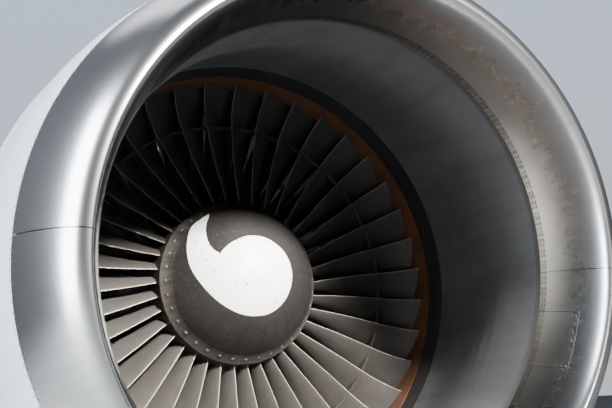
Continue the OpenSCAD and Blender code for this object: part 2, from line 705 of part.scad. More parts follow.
// Fan disc and blades
disc_s = [spinner_aft + seat, fan_front + 115];
slot_neck = 17;
slot_base = 28;
neck_depth = 12;
module slot_outline(grow) {
    depth_r = disc_rim_r - dovetail_depth - grow;
    polygon([
        [disc_rim_r + 3, -slot_neck / 2 - grow], [disc_rim_r - neck_depth, -slot_neck / 2 - grow],
        [depth_r, -slot_base / 2 - grow], [depth_r, slot_base / 2 + grow],
        [disc_rim_r - neck_depth, slot_neck / 2 + grow], [disc_rim_r + 3, slot_neck / 2 + grow]
    ]);
}
drive_flange_r = [150, 190];
module fan_disc() {
    color("slategray") difference() {
        turned([
            [110, disc_s[0] + 24], [150, disc_s[0] + 20], [165, disc_s[0] + 50], [222, disc_s[0] + 50],
            [228, disc_s[0]], [disc_rim_r, disc_s[0]], [disc_rim_r, disc_s[1]], [228, disc_s[1]],
            [222, disc_s[1] - 45], [drive_flange_r[1], disc_s[1] - 45], [drive_flange_r[1], disc_s[1] + 10],
            [drive_flange_r[0], disc_s[1] + 10], [drive_flange_r[0], disc_s[1] - 10], [110, disc_s[1] - 10]
        ]);
        around(fan_blade_count) translate([0, 0, disc_s[0] - 1])
            linear_extrude(height = disc_s[1] - disc_s[0] + 2) slot_outline(0.4);
    }
}
platform_aft = disc_s[1] - 1;
platform_a = 2.1;
hub_aft_r = spinner_r + 18;
blade_stations = [0, 0.18, 0.42, 0.7, 1];
pitch_a = 360 / fan_blade_count;
function blade_chord_at(u) = fan_root_chord - 6 + (fan_tip_chord - fan_root_chord + 6) * pow(u, 1.15);
function blade_stagger_at(u) = fan_root_stagger + (fan_tip_stagger - fan_root_stagger) * pow(u, 0.82);
function blade_thickness_at(u) = 11 - 7.5 * u;
function blade_camber_at(u) = 11 - 8 * u;
// Six points of a blade section at share u of the span, on a cylinder about the shaft
function blade_section(u) =
    let (r = spinner_r + 2 + (fan_tip_r - spinner_r - 2) * u, c = blade_chord_at(u), g = blade_stagger_at(u),
         t = blade_thickness_at(u), k = blade_camber_at(u))
    [for (q = [[0, 0], [0.24, 0.86], [0.66, 0.92], [1, 0], [0.66, -0.92], [0.24, -0.86]])
        let (along = q[0] * c, out = k * 4 * q[0] * (1 - q[0]) + q[1] * t / 2,
             s = fan_front + 4 * u + along * cos(g) - out * sin(g),
             a = (along * sin(g) + out * cos(g)) / r * 180 / PI)
        [r * cos(a), r * sin(a), s]];
module loft(sections) {
    n = len(sections[0]);
    m = len(sections);
    polyhedron(
        points = [for (section = sections, p = section) p],
        faces = concat(
            [[for (i = [0:n - 1]) i]],
            [for (k = [0:m - 2], i = [0:n - 1]) [k * n + i, (k + 1) * n + (i + 1) % n, k * n + (i + 1) % n]],
            [for (k = [0:m - 2], i = [0:n - 1]) [k * n + i, (k + 1) * n + i, (k + 1) * n + (i + 1) % n]],
            [[for (i = [n - 1:-1:0]) (m - 1) * n + i]]));
}
// A block between two radii and two stations, as wide as the pitch less a gap, for platforms and shrouds
module pitch_block(r0, r1_front, r1_aft, s, middle_a, gap) {
    half_a = pitch_a / 2 - gap / 2 / r0 * 180 / PI;
    loft([for (a = [half_a, -half_a])
        [for (p = [[r0, s[0]], [r1_front, s[0]], [r1_aft, s[1]], [r0, s[1]]])
            [p[0] * cos(middle_a + a), p[0] * sin(middle_a + a), p[1]]]]);
}
shroud_share = (mid_shroud_r - spinner_r - 2) / (fan_tip_r - spinner_r - 2);
shroud_s = fan_front + blade_chord_at(shroud_share) * cos(blade_stagger_at(shroud_share)) / 2;
shroud_a = blade_chord_at(shroud_share) * sin(blade_stagger_at(shroud_share)) / 2 / mid_shroud_r * 180 / PI;
module root_slab(w, drop) {
    translate([disc_rim_r - drop, -w / 2, disc_s[0] + 1]) cube([0.5, w, disc_s[1] - disc_s[0] - 2]);
}
module fan_blade() {
    loft([for (u = blade_stations) blade_section(u)]);
    pitch_block(disc_rim_r + 4, spinner_r, hub_aft_r, [spinner_aft + 2, platform_aft], platform_a, 1);
    pitch_block(mid_shroud_r - 4, mid_shroud_r + 3, mid_shroud_r + 5, [shroud_s - 20, shroud_s + 20],
        shroud_a, 0.6);
    hull() { root_slab(slot_base, dovetail_depth); root_slab(slot_neck, neck_depth); }
    hull() { root_slab(slot_neck, neck_depth); root_slab(slot_neck, -6); }
}
module fan_blades() { color("dimgray") around(fan_blade_count) fan_blade(); }

// Rotors of the core
fan_shaft_r = 88;
module booster_rotor() {
    front = disc_s[1] + seat;
    t = 13;
    color("silver") {
        turned([
            [232, front], [hub_aft_r, front], [booster_hub_r, front + 45], [booster_hub_r, 612],
                [booster_hub_r - t, 612],
            [booster_hub_r - t, front + 48], [hub_aft_r - t, front + 8], [232, front + 8]
        ]);
        for (s = booster_rows) rotor_row(42, booster_hub_r - 2, booster_bore_r - rotor_gap, s, 28);
    }
}
low_shaft_aft = 2190;
module low_pressure_shaft() {
    front = disc_s[1] + 10 + seat;
    t = 12;
    color("silver") turned([
        [drive_flange_r[0] + 4, front], [drive_flange_r[1], front], [drive_flange_r[1], front + 10],
        [drive_flange_r[0] + 12, front + 12], [fan_shaft_r, 396], [fan_shaft_r, 476], [low_shaft_r, 510],
        [low_shaft_r, low_shaft_aft], [low_shaft_r - low_shaft_t, low_shaft_aft],
            [low_shaft_r - low_shaft_t, 500],
        [fan_shaft_r - t, 470], [fan_shaft_r - t, 400], [drive_flange_r[0] + 4, front + 10]
    ]);
}
low_blade_chord = 36;
module low_pressure_turbine_rotor() {
    drum_t = 10;
    color("rosybrown") {
        for (i = [0:turbine_stages - 1]) {
            s = low_stage_s(i) + 48;
            hub = radius_at(turbine_hub_line, s);
            rotor_row(36 + 2 * i, hub - 2, radius_at(turbine_line, s) - rotor_gap, s, low_blade_chord);
            turned([[96, s], [120, s], [132, s + 12], [hub - 8, s + 12], [hub - 8, s + 26], [132, s + 26],
                [120, s + 36], [96, s + 36]]);
        }
        intersection() {
            wall(shifted(turbine_hub_line, -drum_t), drum_t);
            ring(0.01, 600, low_stage_s(0) + 44, 2040);
        }
        turned([
            [low_shaft_r + seat, 2070], [low_shaft_r + 16, 2070], [150, low_stage_s(2) + 74],
                [radius_at(turbine_hub_line, 1930) - 6, low_stage_s(2) + 66],
            [radius_at(turbine_hub_line, 1930) - 6, low_stage_s(2) + 76], [156, low_stage_s(2) + 86],
                [low_shaft_r + 20, 2118], [low_shaft_r + seat, 2118]
        ]);
    }
}
high_shaft_t = 12;
high_shaft_aft = 1640;
module compressor_rotor() {
    drum_t = 10;
    web_s = first_stage_s - 10;
    color("lightsteelblue") {
        wall(shifted(drum_line, -drum_t), drum_t);
        ring(high_shaft_r - high_shaft_t, radius_at(drum_line, web_s) - 2, web_s, web_s + 10);
        ring(high_shaft_r - high_shaft_t, high_shaft_r, thrust_bearing_s - 10, web_s + 5);
        for (i = [0:compressor_stages - 1]) rotor_row(20 + i, radius_at(drum_line, stage_s(i)) - 2,
            radius_at(compressor_line, stage_s(i) + blade_chord) - rotor_gap, stage_s(i), blade_chord);
        turned([
            [radius_at(drum_line, 1310) - 4, 1306], [radius_at(drum_line, 1310) - 4, 1318],
                [high_shaft_r, 1390],
            [high_shaft_r, high_shaft_aft], [high_shaft_r - high_shaft_t, high_shaft_aft],
                [high_shaft_r - high_shaft_t, 1384],
        ]);
    }
}
module high_pressure_turbine_rotor() {
    hub_r = 232;
    bore = high_shaft_r + seat;
    color("tan") {
        turned([
            [bore, 1584], [136, 1584], [150, 1606], [hub_r - 6, 1608], [hub_r, high_blade_s],
                [hub_r, high_blade_s + 28],
            [hub_r - 6, 1624], [150, 1624], [136, 1634], [bore, 1634]
        ]);
        rotor_row(44, hub_r - 2, radius_at(turbine_line, 1610) - rotor_gap, high_blade_s, 28);
    }
}

// Fan cowl doors
cowl_line = [[nacelle_front_r, door_gap], [nacelle_r - 3, 170], [nacelle_r, 320], [nacelle_r, cowl_aft]];
edge_x = hinge_x + knuckle_r + 3;
split_x = 2.5;
module mirrored(side) { if (side > 0) children(); else mirror([1, 0, 0]) children(); }
// Keeps what lies to the right of top_x above the shaft and of bottom_x below it
module beyond(top_x, bottom_x) {
    reach = 1100;
    intersection() {
        children();
        union() {
            block([top_x, reach], [-1, reach], [0, 3000]);
            block([bottom_x, reach], [-reach, 0], [0, 3000]);
        }
    }
}
module knuckle(s, foot_h) {
    difference() {
        union() {
            rod_s(2 * knuckle_r, hinge_x, hinge_h, s - knuckle_w / 2, s + knuckle_w / 2);
            block([hinge_x, edge_x + 8], [foot_h, hinge_h - 2], [s - knuckle_w / 2, s + knuckle_w / 2]);
        }
        rod_s(2 * (pin_r + seat), hinge_x, hinge_h, s - knuckle_w, s + knuckle_w);
    }
}
module fan_cowl_shell() {
    rib = [12, 30];
    beyond(edge_x, split_x) {
        wall(shifted(cowl_line, -cowl_t), cowl_t);
        for (s = [120, 560, 820]) ring(nacelle_r - cowl_t - rib[0], nacelle_r - cowl_t + 1, s, s + rib[1]);
    }
    for (s = cowl_hinges) knuckle(s, hinge_h - knuckle_r);
}
door_s = [265, 385];
door_h = [-70, 64];
door_hinge = [nacelle_r - cowl_t / 2 - 3.5, 70];
flap_gap = 3;
flap_knuckle_r = 4;
module oil_door_cut() {
    block([nacelle_r - 60, nacelle_r + 20], [door_h[0] - flap_gap, door_h[1] + 12],
        [door_s[0] - flap_gap, door_s[1] + flap_gap]);
}
module fan_cowl_right() {
    color("aliceblue") {
        difference() {
            fan_cowl_shell();
            oil_door_cut();
        }
        for (s = [door_s[0] + 20, door_s[1] - 34]) {
            rod_s(2 * flap_knuckle_r, door_hinge[0], door_hinge[1], s, s + 14);
            block([door_hinge[0] - flap_knuckle_r, door_hinge[0] + 2], [door_hinge[1], door_h[1] + 15],
                [s, s + 14]);
        }
    }
}
module oil_access_door() {
    color("aliceblue") {
        intersection() {
            wall(shifted(cowl_line, -cowl_t), cowl_t);
            block([nacelle_r - 60, nacelle_r + 20], door_h, door_s);
        }
        rod_s(2 * flap_knuckle_r, door_hinge[0], door_hinge[1], door_s[0] + 34 + seat, door_s[1] - 34 - seat);
        block([door_hinge[0] - flap_knuckle_r, door_hinge[0] + 2], [door_h[1] - 3, door_hinge[1]],
            [door_s[0] + 34 + seat, door_s[1] - 34 - seat]);
    }
}
latch_x = [30, 96];
latch_w = 52;
latch_stations = [205, 440, 730];
latch_hinge = [latch_x[0] - 6, -(nacelle_r - cowl_t / 2 - 1)];
module latch_cut(s) {
    block([latch_x[0] - 12, latch_x[1] + flap_gap], [-nacelle_r - 20, 60 - nacelle_r],
        [s - latch_w / 2 - flap_gap, s + latch_w / 2 + flap_gap]);
}
module fan_cowl_left() {
    color("aliceblue") mirrored(-1) {
        difference() {
            fan_cowl_shell();
            for (s = latch_stations) latch_cut(s);
        }
        for (s = latch_stations, end = [-1, 1]) {
            s0 = s + end * (latch_w / 2 - 6) - 6;
            rod_s(2 * flap_knuckle_r, latch_hinge[0], latch_hinge[1], s0, s0 + 12);
            block([latch_x[0] - 13, latch_hinge[0]], [latch_hinge[1] - 2, latch_hinge[1] + flap_knuckle_r],
                [s0, s0 + 12]);
        }
    }
}
module cowl_latch(s) {
    w = latch_w - 24 - 2 * seat;
    color("silver") mirrored(-1) {
        intersection() {
            wall(shifted(cowl_line, -cowl_t), cowl_t);
            block(latch_x, [-nacelle_r - 20, 60 - nacelle_r], [s - latch_w / 2, s + latch_w / 2]);
        }
        rod_s(2 * flap_knuckle_r, latch_hinge[0], latch_hinge[1], s - w / 2, s + w / 2);
        block([latch_hinge[0], latch_x[0] + 3], [latch_hinge[1] - 2, latch_hinge[1] + flap_knuckle_r],
            [s - w / 2, s + w / 2]);
    }
}
module cowl_latch_front() { cowl_latch(latch_stations[0]); }
module cowl_latch_middle() { cowl_latch(latch_stations[1]); }
module cowl_latch_rear() { cowl_latch(latch_stations[2]); }

// Thrust reverser halves
outer_line = [
    [nacelle_r, cowl_aft + door_gap], [nacelle_r, 1000], [nacelle_r - 4, 1200], [nacelle_r - 25, 1400],
    [nacelle_r - 68, 1600], [nacelle_r - 130, 1790], [duct_exit_r, duct_exit]
];
half_front = frame_flange_aft + door_gap;
sleeve_front = 959;
duct_line = [[768, half_front], [775, 955], [784, 1200], [775, 1450], [754, 1700],
    [duct_exit_r - 12, duct_exit]];
inner_wall_line = [[436, half_front], [520, 1100], [560, 1400], [556, 1700], [540, 2000], [518, 2225]];
inner_wall_t = 12;
track_x = [edge_x, edge_x + 20];
lower_track_x = [split_x, split_x + 20];
slide_gap = seat;
duct_wall_t = 7;
duct_wall_s = [half_front, 1100, 1400, 1700, duct_exit];
module duct_outer_box() {
    turned([
        duct_line[0], duct_line[0] + [8, 0], [790, 884], [nacelle_r - 14, cowl_aft + 8],
            [nacelle_r - 14, cowl_aft + 16],
        [812, 946], duct_line[1] + [8, 0], duct_line[1]
    ]);
}
module reverser_half(side) {
    color("gray") mirrored(side) {
        beyond(edge_x - 6, split_x) duct_outer_box();
        intersection() {
            turned(concat(outer_line, reversed(duct_line)));
            union() {
                block(track_x, [0, 1100], [0, 3000]);
                block(lower_track_x, [-1100, 0], [0, 3000]);
            }
        }
        intersection() {
            turned(concat(
                [for (s = duct_wall_s) [radius_at(inner_wall_line, s) + seat, s]],
                [for (s = reversed(duct_wall_s)) [radius_at(duct_line, s) + 6, s]]));
            union() {
                block([track_x[0] - 6, track_x[0] + 1], [0, 1100], [0, 3000]);
                block([split_x, split_x + duct_wall_t], [-1100, 0], [0, 3000]);
            }
        }
        for (s = half_hinges) knuckle(s, sqrt(pow(radius_at(outer_line, s), 2) - pow(edge_x + 8, 2)) - 14);
    }
}
module reverser_half_left() { reverser_half(-1); }
module reverser_half_right() { reverser_half(1); }
module duct_inner_wall(side) {
    color("lightgray") mirrored(side) beyond(track_x[0] - 6, split_x)
        wall(shifted(inner_wall_line, -inner_wall_t), inner_wall_t);
}
module duct_inner_wall_left() { duct_inner_wall(-1); }
module duct_inner_wall_right() { duct_inner_wall(1); }
cascade_r = [834, 878];
cascade_s = [955 + seat, 1290];
cascade_rows = 7;
module cascade(side) {
    strip_inset = 2;
    pitch = (cascade_s[1] - cascade_s[0] - 16) / cascade_rows;
    color("darkgray") mirrored(side) beyond(track_x[1] + seat, lower_track_x[1] + seat) {
        for (i = [0:cascade_rows - 1]) {
            s = cascade_s[0] + 12 + pitch * i;
            turned([[cascade_r[0], s + 10], [cascade_r[0] + 20, s + 2], [cascade_r[1], s - 4],
                [cascade_r[1], s], [cascade_r[0] + 20, s + 6], [cascade_r[0], s + 14]]);
        }
        ring(cascade_r[0] - 20, cascade_r[1], cascade_s[0], cascade_s[0] + 6);
        ring(cascade_r[0] - 4, cascade_r[1], cascade_s[1] - 8, cascade_s[1]);
        around(16, 9) translate([cascade_r[0] + strip_inset, -2, cascade_s[0]])
            cube([cascade_r[1] - cascade_r[0] - 2 * strip_inset, 4, cascade_s[1] - cascade_s[0]]);
    }
}
module cascade_left() { cascade(-1); }
module cascade_right() { cascade(1); }
cavity_aft = 1880;
module sleeve(side) {
    duct = concat([[radius_at(duct_line, sleeve_front), sleeve_front]],
        [for (i = [2:len(duct_line) - 1]) duct_line[i]]);
    color("aliceblue") mirrored(side) beyond(track_x[1] + slide_gap, lower_track_x[1] + slide_gap)
        turned(concat(
        outer_line, reversed(duct),
        [for (s = [sleeve_front, 1200, 1450, 1700, cavity_aft]) [radius_at(duct_line, s) + 8, s]],
        [for (s = [cavity_aft, 1790, 1600, 1400, 1200, 1000, outer_line[0][1]]) [radius_at(outer_line,
            s) - cowl_t, s]]));
}
module sleeve_left() { sleeve(-1); }
module sleeve_right() { sleeve(1); }

module engine_frame() { translate([0, -mount_station, -axis_drop]) rotate([-90, 0, 0]) children(); }

engine_frame() inlet_lip_skin();
engine_frame() inlet_front_bulkhead();
engine_frame() inlet_inner_barrel();
engine_frame() inlet_outer_barrel();
engine_frame() inlet_attach_ring();
engine_frame() inlet_bolts();
engine_frame() fan_case();
engine_frame() fan_case_front_liner();
engine_frame() fan_rub_strip();
engine_frame() fan_case_aft_liner();
engine_frame() outlet_guide_vanes();
engine_frame() booster_case();
engine_frame() fan_frame();
engine_frame() compressor_case();
engine_frame() combustor_case();
engine_frame() combustor_liner();
engine_frame() fuel_nozzles();
engine_frame() turbine_case();
engine_frame() turbine_rear_frame();
engine_frame() exhaust_nozzle();
engine_frame() exhaust_plug();
engine_frame() fan_bearing();
engine_frame() thrust_bearing();
engine_frame() turbine_bearing();
engine_frame() accessory_gearbox();
engine_frame() starter();
engine_frame() generator();
engine_frame() fuel_pump();
engine_frame() oil_tank();
engine_frame() mount_beam();
engine_frame() forward_mount();
engine_frame() aft_mount();
engine_frame() spinner_dome();
engine_frame() spinner_rear_cone();
engine_frame() balance_screws();
engine_frame() fan_disc();
engine_frame() fan_blades();
engine_frame() booster_rotor();
engine_frame() low_pressure_shaft();
engine_frame() low_pressure_turbine_rotor();
engine_frame() compressor_rotor();
engine_frame() high_pressure_turbine_rotor();
engine_frame() fan_cowl_left();
engine_frame() fan_cowl_right();
engine_frame() cowl_latch_front();
engine_frame() cowl_latch_middle();
engine_frame() cowl_latch_rear();
engine_frame() oil_access_door();
engine_frame() reverser_half_left();
engine_frame() reverser_half_right();
engine_frame() duct_inner_wall_left();
engine_frame() duct_inner_wall_right();
engine_frame() cascade_left();
engine_frame() cascade_right();
engine_frame() sleeve_left();
engine_frame() sleeve_right();
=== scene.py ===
"""Looks of the high-bypass engine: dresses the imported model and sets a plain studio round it.

Sizes of the engine are in millimetres, on its own shaft: a radius, a clock angle in degrees (0 at the top,
growing to the right seen from the front) and a station aft of the fan case's front flange. Shaft.place turns
them into the frame's metres. Radii and reaches in the finishes are in metres, as the shader groups give them.
"""

from __future__ import annotations

import json
import logging
import math
from dataclasses import dataclass, field
from enum import Enum
from typing import Any, Callable, Iterable, Sequence

import bmesh
import bpy
from mathutils import Matrix, Vector

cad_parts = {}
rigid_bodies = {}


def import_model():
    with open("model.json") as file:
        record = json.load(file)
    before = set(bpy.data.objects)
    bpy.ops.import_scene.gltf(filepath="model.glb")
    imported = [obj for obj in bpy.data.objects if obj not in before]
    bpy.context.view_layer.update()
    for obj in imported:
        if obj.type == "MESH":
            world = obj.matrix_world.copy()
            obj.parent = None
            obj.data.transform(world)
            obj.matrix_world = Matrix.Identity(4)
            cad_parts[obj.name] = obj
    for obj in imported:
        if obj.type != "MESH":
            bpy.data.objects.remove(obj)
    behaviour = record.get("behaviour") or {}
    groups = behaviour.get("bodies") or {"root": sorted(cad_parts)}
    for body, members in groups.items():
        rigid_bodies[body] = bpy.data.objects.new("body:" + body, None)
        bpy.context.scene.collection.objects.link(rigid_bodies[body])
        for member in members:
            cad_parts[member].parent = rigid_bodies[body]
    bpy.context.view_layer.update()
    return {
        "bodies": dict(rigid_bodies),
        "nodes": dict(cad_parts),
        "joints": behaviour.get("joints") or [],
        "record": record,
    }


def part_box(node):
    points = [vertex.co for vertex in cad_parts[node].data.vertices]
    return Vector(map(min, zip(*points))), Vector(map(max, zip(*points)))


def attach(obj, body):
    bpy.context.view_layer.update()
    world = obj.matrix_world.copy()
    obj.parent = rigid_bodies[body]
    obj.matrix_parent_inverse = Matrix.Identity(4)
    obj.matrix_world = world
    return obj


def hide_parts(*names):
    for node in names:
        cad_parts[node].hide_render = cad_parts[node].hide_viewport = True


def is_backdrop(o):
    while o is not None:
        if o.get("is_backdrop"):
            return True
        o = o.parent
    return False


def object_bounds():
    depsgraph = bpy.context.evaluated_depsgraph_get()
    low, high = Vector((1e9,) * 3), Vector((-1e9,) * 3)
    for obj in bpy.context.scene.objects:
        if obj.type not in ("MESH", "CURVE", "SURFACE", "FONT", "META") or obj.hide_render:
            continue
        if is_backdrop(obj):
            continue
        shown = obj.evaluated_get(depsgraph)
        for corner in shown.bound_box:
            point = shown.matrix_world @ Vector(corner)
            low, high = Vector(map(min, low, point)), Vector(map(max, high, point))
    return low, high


log = logging.getLogger("engine")

Point = tuple[float, float]
Place = tuple[float, float, float]
Colour = tuple[float, float, float]
Socket = bpy.types.NodeSocket
# A finish's colour, roughness and relief height.
Surface = tuple[Any, Any, Any]
MM = 0.001
# How far the lip's inner seam lies ahead of the flange.
INNER_SEAM = 657.0


@dataclass(frozen=True)
class Shaft:
    """The engine's shaft line, on which stations, radii and clock angles are measured."""

    height: float
    front: float
    droop: float = 6.0

    @classmethod
    def of_frame(cls, frame: dict[str, Any]) -> Shaft:
        """Reads the shaft's height from the fan's joint and station 0 from the fan case.


        Returns:
            The shaft in the frame's metres.
        """
        spin = next(j for j in frame["joints"] if j["name"] == "low_pressure_spool_spin")
        return cls(height=spin["pos_m"][2], front=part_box("fan_case")[0].y)

    def place(self, radius: float, clock: float, station: float, drooped: bool = False) -> Vector:
        """Turns a place on the shaft into a point of the frame.

        Args:
            radius: distance from the shaft.
            clock: clock angle in degrees.
            station: distance aft of the fan case's front flange.
            drooped: True for the inlet, whose own axis points down.

        Returns:
            The point in metres.
        """
        turn = math.radians(clock)
        down = -radius * math.cos(turn)
        if drooped:
            tilt = math.radians(self.droop)
            down, station = (
                down * math.cos(tilt) - station * math.sin(tilt),
                down * math.sin(tilt) + station * math.cos(tilt),
            )
        return Vector((radius * math.sin(turn) * MM, self.front + station * MM, self.height - down * MM))

    def facing(
        self, radius: float, clock: float, station: float, out: Point, drooped: bool = False
    ) -> Vector:
        """The direction that a surface faces there, from its direction in the plane of radius and station."""
        here = self.place(radius, clock, station, drooped)
        return (self.place(radius + out[0], clock, station + out[1], drooped) - here).normalized()


def spaced(start: float, end: float, steps: int) -> list[float]:
    """Evenly spaced values from start to end, both included."""
    return [start + (end - start) * i / steps for i in range(steps + 1)]


def soften(mesh: bpy.types.Mesh, angle: float) -> None:
    """Shades a mesh smooth and keeps edges sharper than the angle, in degrees, crisp."""
    mesh.shade_smooth()
    mesh.set_sharp_from_angle(angle=math.radians(angle))


@dataclass
class Sheet:
    """Points and faces of one piece while it is being made."""

    points: list[Vector] = field(default_factory=list)
    faces: list[list[int]] = field(default_factory=list)

    def strip(self, here: int, there: int, size: int, closed: bool = True) -> None:
        """Joins two rows of points with a strip of four-sided faces.

        Args:
            here: index of the first row's first point.
            there: index of the second row's first point.
            size: points in a row.
            closed: True if each row's last point joins its first.
        """
        for i in range(size if closed else size - 1):
            j = (i + 1) % size
            self.faces.append([here + i, here + j, there + j, there + i])

    def skin(self, loops: Sequence[Sequence[Vector]], round_trip: bool = False) -> None:
        """Joins closed loops of equal length into a tube.

        Args:
            loops: the loops in order.
            round_trip: True if the last loop joins the first; otherwise both get a face that closes them.
        """
        base, size, count = len(self.points), len(loops[0]), len(loops)
        for loop in loops:
            self.points.extend(loop)
        for k in range(count if round_trip else count - 1):
            self.strip(base + k * size, base + (k + 1) % count * size, size)
        if not round_trip:
            self.faces.append([base + i for i in range(size - 1, -1, -1)])
            self.faces.append([base + (count - 1) * size + i for i in range(size)])

    def grid(self, rows: Sequence[Sequence[Vector]], closed: bool = False) -> None:
        """Joins open rows of equal length into an open surface.

        Args:
            rows: the rows in order.
            closed: True if each row's last point joins its first.
        """
        base, size = len(self.points), len(rows[0])
        for row in rows:
            self.points.extend(row)
        for k in range(len(rows) - 1):
            self.strip(base + k * size, base + (k + 1) * size, size, closed)

    def stud(self, centre: Vector, out: Vector, radius: float, rise: float, sides: int = 8) -> None:
        """Adds a low fastener head, its foot sunk a little into the skin.

        Args:
            centre: where it sits, in metres.
            out: the way that the skin faces.
            radius: head radius in millimetres.
            rise: head height in millimetres.
            sides: sides of the head.
        """
        across = out.orthogonal().normalized()
        along = out.cross(across)
        base, foot, shoulder, crown = len(self.points), -0.5, 0.3 * rise, 0.62
        for size, lift in ((1.0, foot), (1.0, shoulder), (crown, rise)):
            for i in range(sides):
                turn = 2 * math.pi * i / sides
                spoke = across * math.cos(turn) + along * math.sin(turn)
                self.points.append(centre + spoke * (radius * size * MM) + out * (lift * MM))
        for k in range(2):
            self.strip(base + k * sides, base + (k + 1) * sides, sides)
        self.faces.append([base + 2 * sides + i for i in range(sides)])
        self.faces.append([base + i for i in range(sides - 1, -1, -1)])

    def make(self, name: str, sharp: float = 32.0) -> bpy.types.Object:
        """Makes the piece as a mesh object, with its faces turned outward.

        Args:
            name: the piece's name.
            sharp: edges sharper than this many degrees stay crisp.

        Returns:
            The new object, linked to the scene.
        """
        mesh = bpy.data.meshes.new(name)
        mesh.from_pydata([tuple(p) for p in self.points], [], self.faces)
        shape = bmesh.new()
        shape.from_mesh(mesh)
        bmesh.ops.remove_doubles(shape, verts=shape.verts, dist=1e-6)
        bmesh.ops.recalc_face_normals(shape, faces=shape.faces)
        shape.to_mesh(mesh)
        shape.free()
        mesh.validate()
        soften(mesh, sharp)
        piece = bpy.data.objects.new(name, mesh)
        bpy.context.scene.collection.objects.link(piece)
        log.info("%s: %d faces", name, len(mesh.polygons))
        return piece


# ------------------------------------------------------------ finishes


class Effect(Enum):
    """Shader groups that several finishes share."""

    SHAFT_MAP = "shaft_map"
    INLET_MAP = "inlet_map"
    WEATHER = "weather"
    CHIPS = "chips"


@dataclass
class Wiring:
    """A node tree with short calls for its nodes and links."""

    tree: bpy.types.NodeTree

    def node(self, kind: str, **settings: Any) -> bpy.types.Node:
        """Adds a node.

        Args:
            kind: the node's type.
            settings: properties to set on it.

        Returns:
            The node.
        """
        made = self.tree.nodes.new(kind)
        for key, value in settings.items():
            setattr(made, key, value)
        return made

    def feed(self, socket: Socket, value: Any) -> None:
        """Links another socket into a socket, or sets its plain value.

        Args:
            socket: the input.
            value: another node's output, or a plain value.
        """
        if isinstance(value, bpy.types.NodeSocket):
            self.tree.links.new(value, socket)
        else:
            socket.default_value = value

    def fill(self, made: bpy.types.Node, *values: Any) -> Socket:
        """Feeds a node's inputs in order.

        Args:
            made: the node.
            values: what its inputs get, from the first on.

        Returns:
            The node's first output.
        """
        for socket, value in zip(made.inputs, values):
            self.feed(socket, value)
        return made.outputs[0]

    def math(self, operation: str, *values: Any, clamp: bool = False) -> Socket:
        """A Math node's result."""
        return self.fill(self.node("ShaderNodeMath", operation=operation, use_clamp=clamp), *values)

    def plus(self, first: Any, second: Any) -> Socket:
        """The sum of two values."""
        return self.math("ADD", first, second)

    def minus(self, first: Any, second: Any) -> Socket:
        """The difference of two values."""
        return self.math("SUBTRACT", first, second)

    def times(self, first: Any, second: Any) -> Socket:
        """The product of two values."""
        return self.math("MULTIPLY", first, second)

    def length(self, first: Socket, second: Socket) -> Socket:
        """The length of the line whose two sides are given."""
        return self.math("SQRT", self.plus(self.times(first, first), self.times(second, second)))

    def sway(self, pattern: Socket, width: float) -> Socket:
        """A pattern from 0 to 1, centred on 0 and scaled to a width."""
        return self.times(self.minus(pattern, 0.5), width)

    def ramp(self, value: Any, low: float, high: float, to_low: float = 0.0, to_high: float = 1.0) -> Socket:
        """A value moved smoothly from the range low to high into the range to_low to to_high."""
        made = self.node("ShaderNodeMapRange", interpolation_type="SMOOTHSTEP")
        return self.fill(made, value, low, high, to_low, to_high)

    def point(self) -> Socket:
        """The shaded point in the frame's metres."""
        return self.node("ShaderNodeTexCoord").outputs["Object"]

    def noise(self, vector: Any, scale: Any, detail: float = 3.0, rough: float = 0.55) -> Socket:
        """A noise pattern.

        Args:
            vector: what the pattern runs over.
            scale: how fine it is.
            detail: how many finer layers it has.
            rough: how strong the finer layers are.

        Returns:
            The pattern's value, from 0 to 1.
        """
        made = self.node("ShaderNodeTexNoise")
        for name, value in (("Vector", vector), ("Scale", scale), ("Detail", detail), ("Roughness", rough)):
            self.feed(made.inputs[name], value)
        return made.outputs["Fac"]

    def blend(self, share: Any, first: Any, second: Any) -> Socket:
        """Mixes two colours.

        Args:
            share: how much of the second colour shows, from 0 to 1.
            first: a colour or an output.
            second: a colour or an output.

        Returns:
            The mixed colour.
        """
        made = self.node("ShaderNodeMix", data_type="RGBA")
        self.feed(made.inputs[0], share)
        for socket, colour in ((made.inputs[6], first), (made.inputs[7], second)):
            self.feed(socket, colour if isinstance(colour, bpy.types.NodeSocket) else (*colour, 1.0))
        return made.outputs[2]

    def group(self, effect: Effect, **values: Any) -> bpy.types.Node:
        """Places a shared group.

        Args:
            effect: which group.
            values: its inputs by name.

        Returns:
            The group's node.
        """
        made = self.node("ShaderNodeGroup")
        made.node_tree = bpy.data.node_groups[effect.value]
        for key, value in values.items():
            self.feed(made.inputs[key], value)
        return made


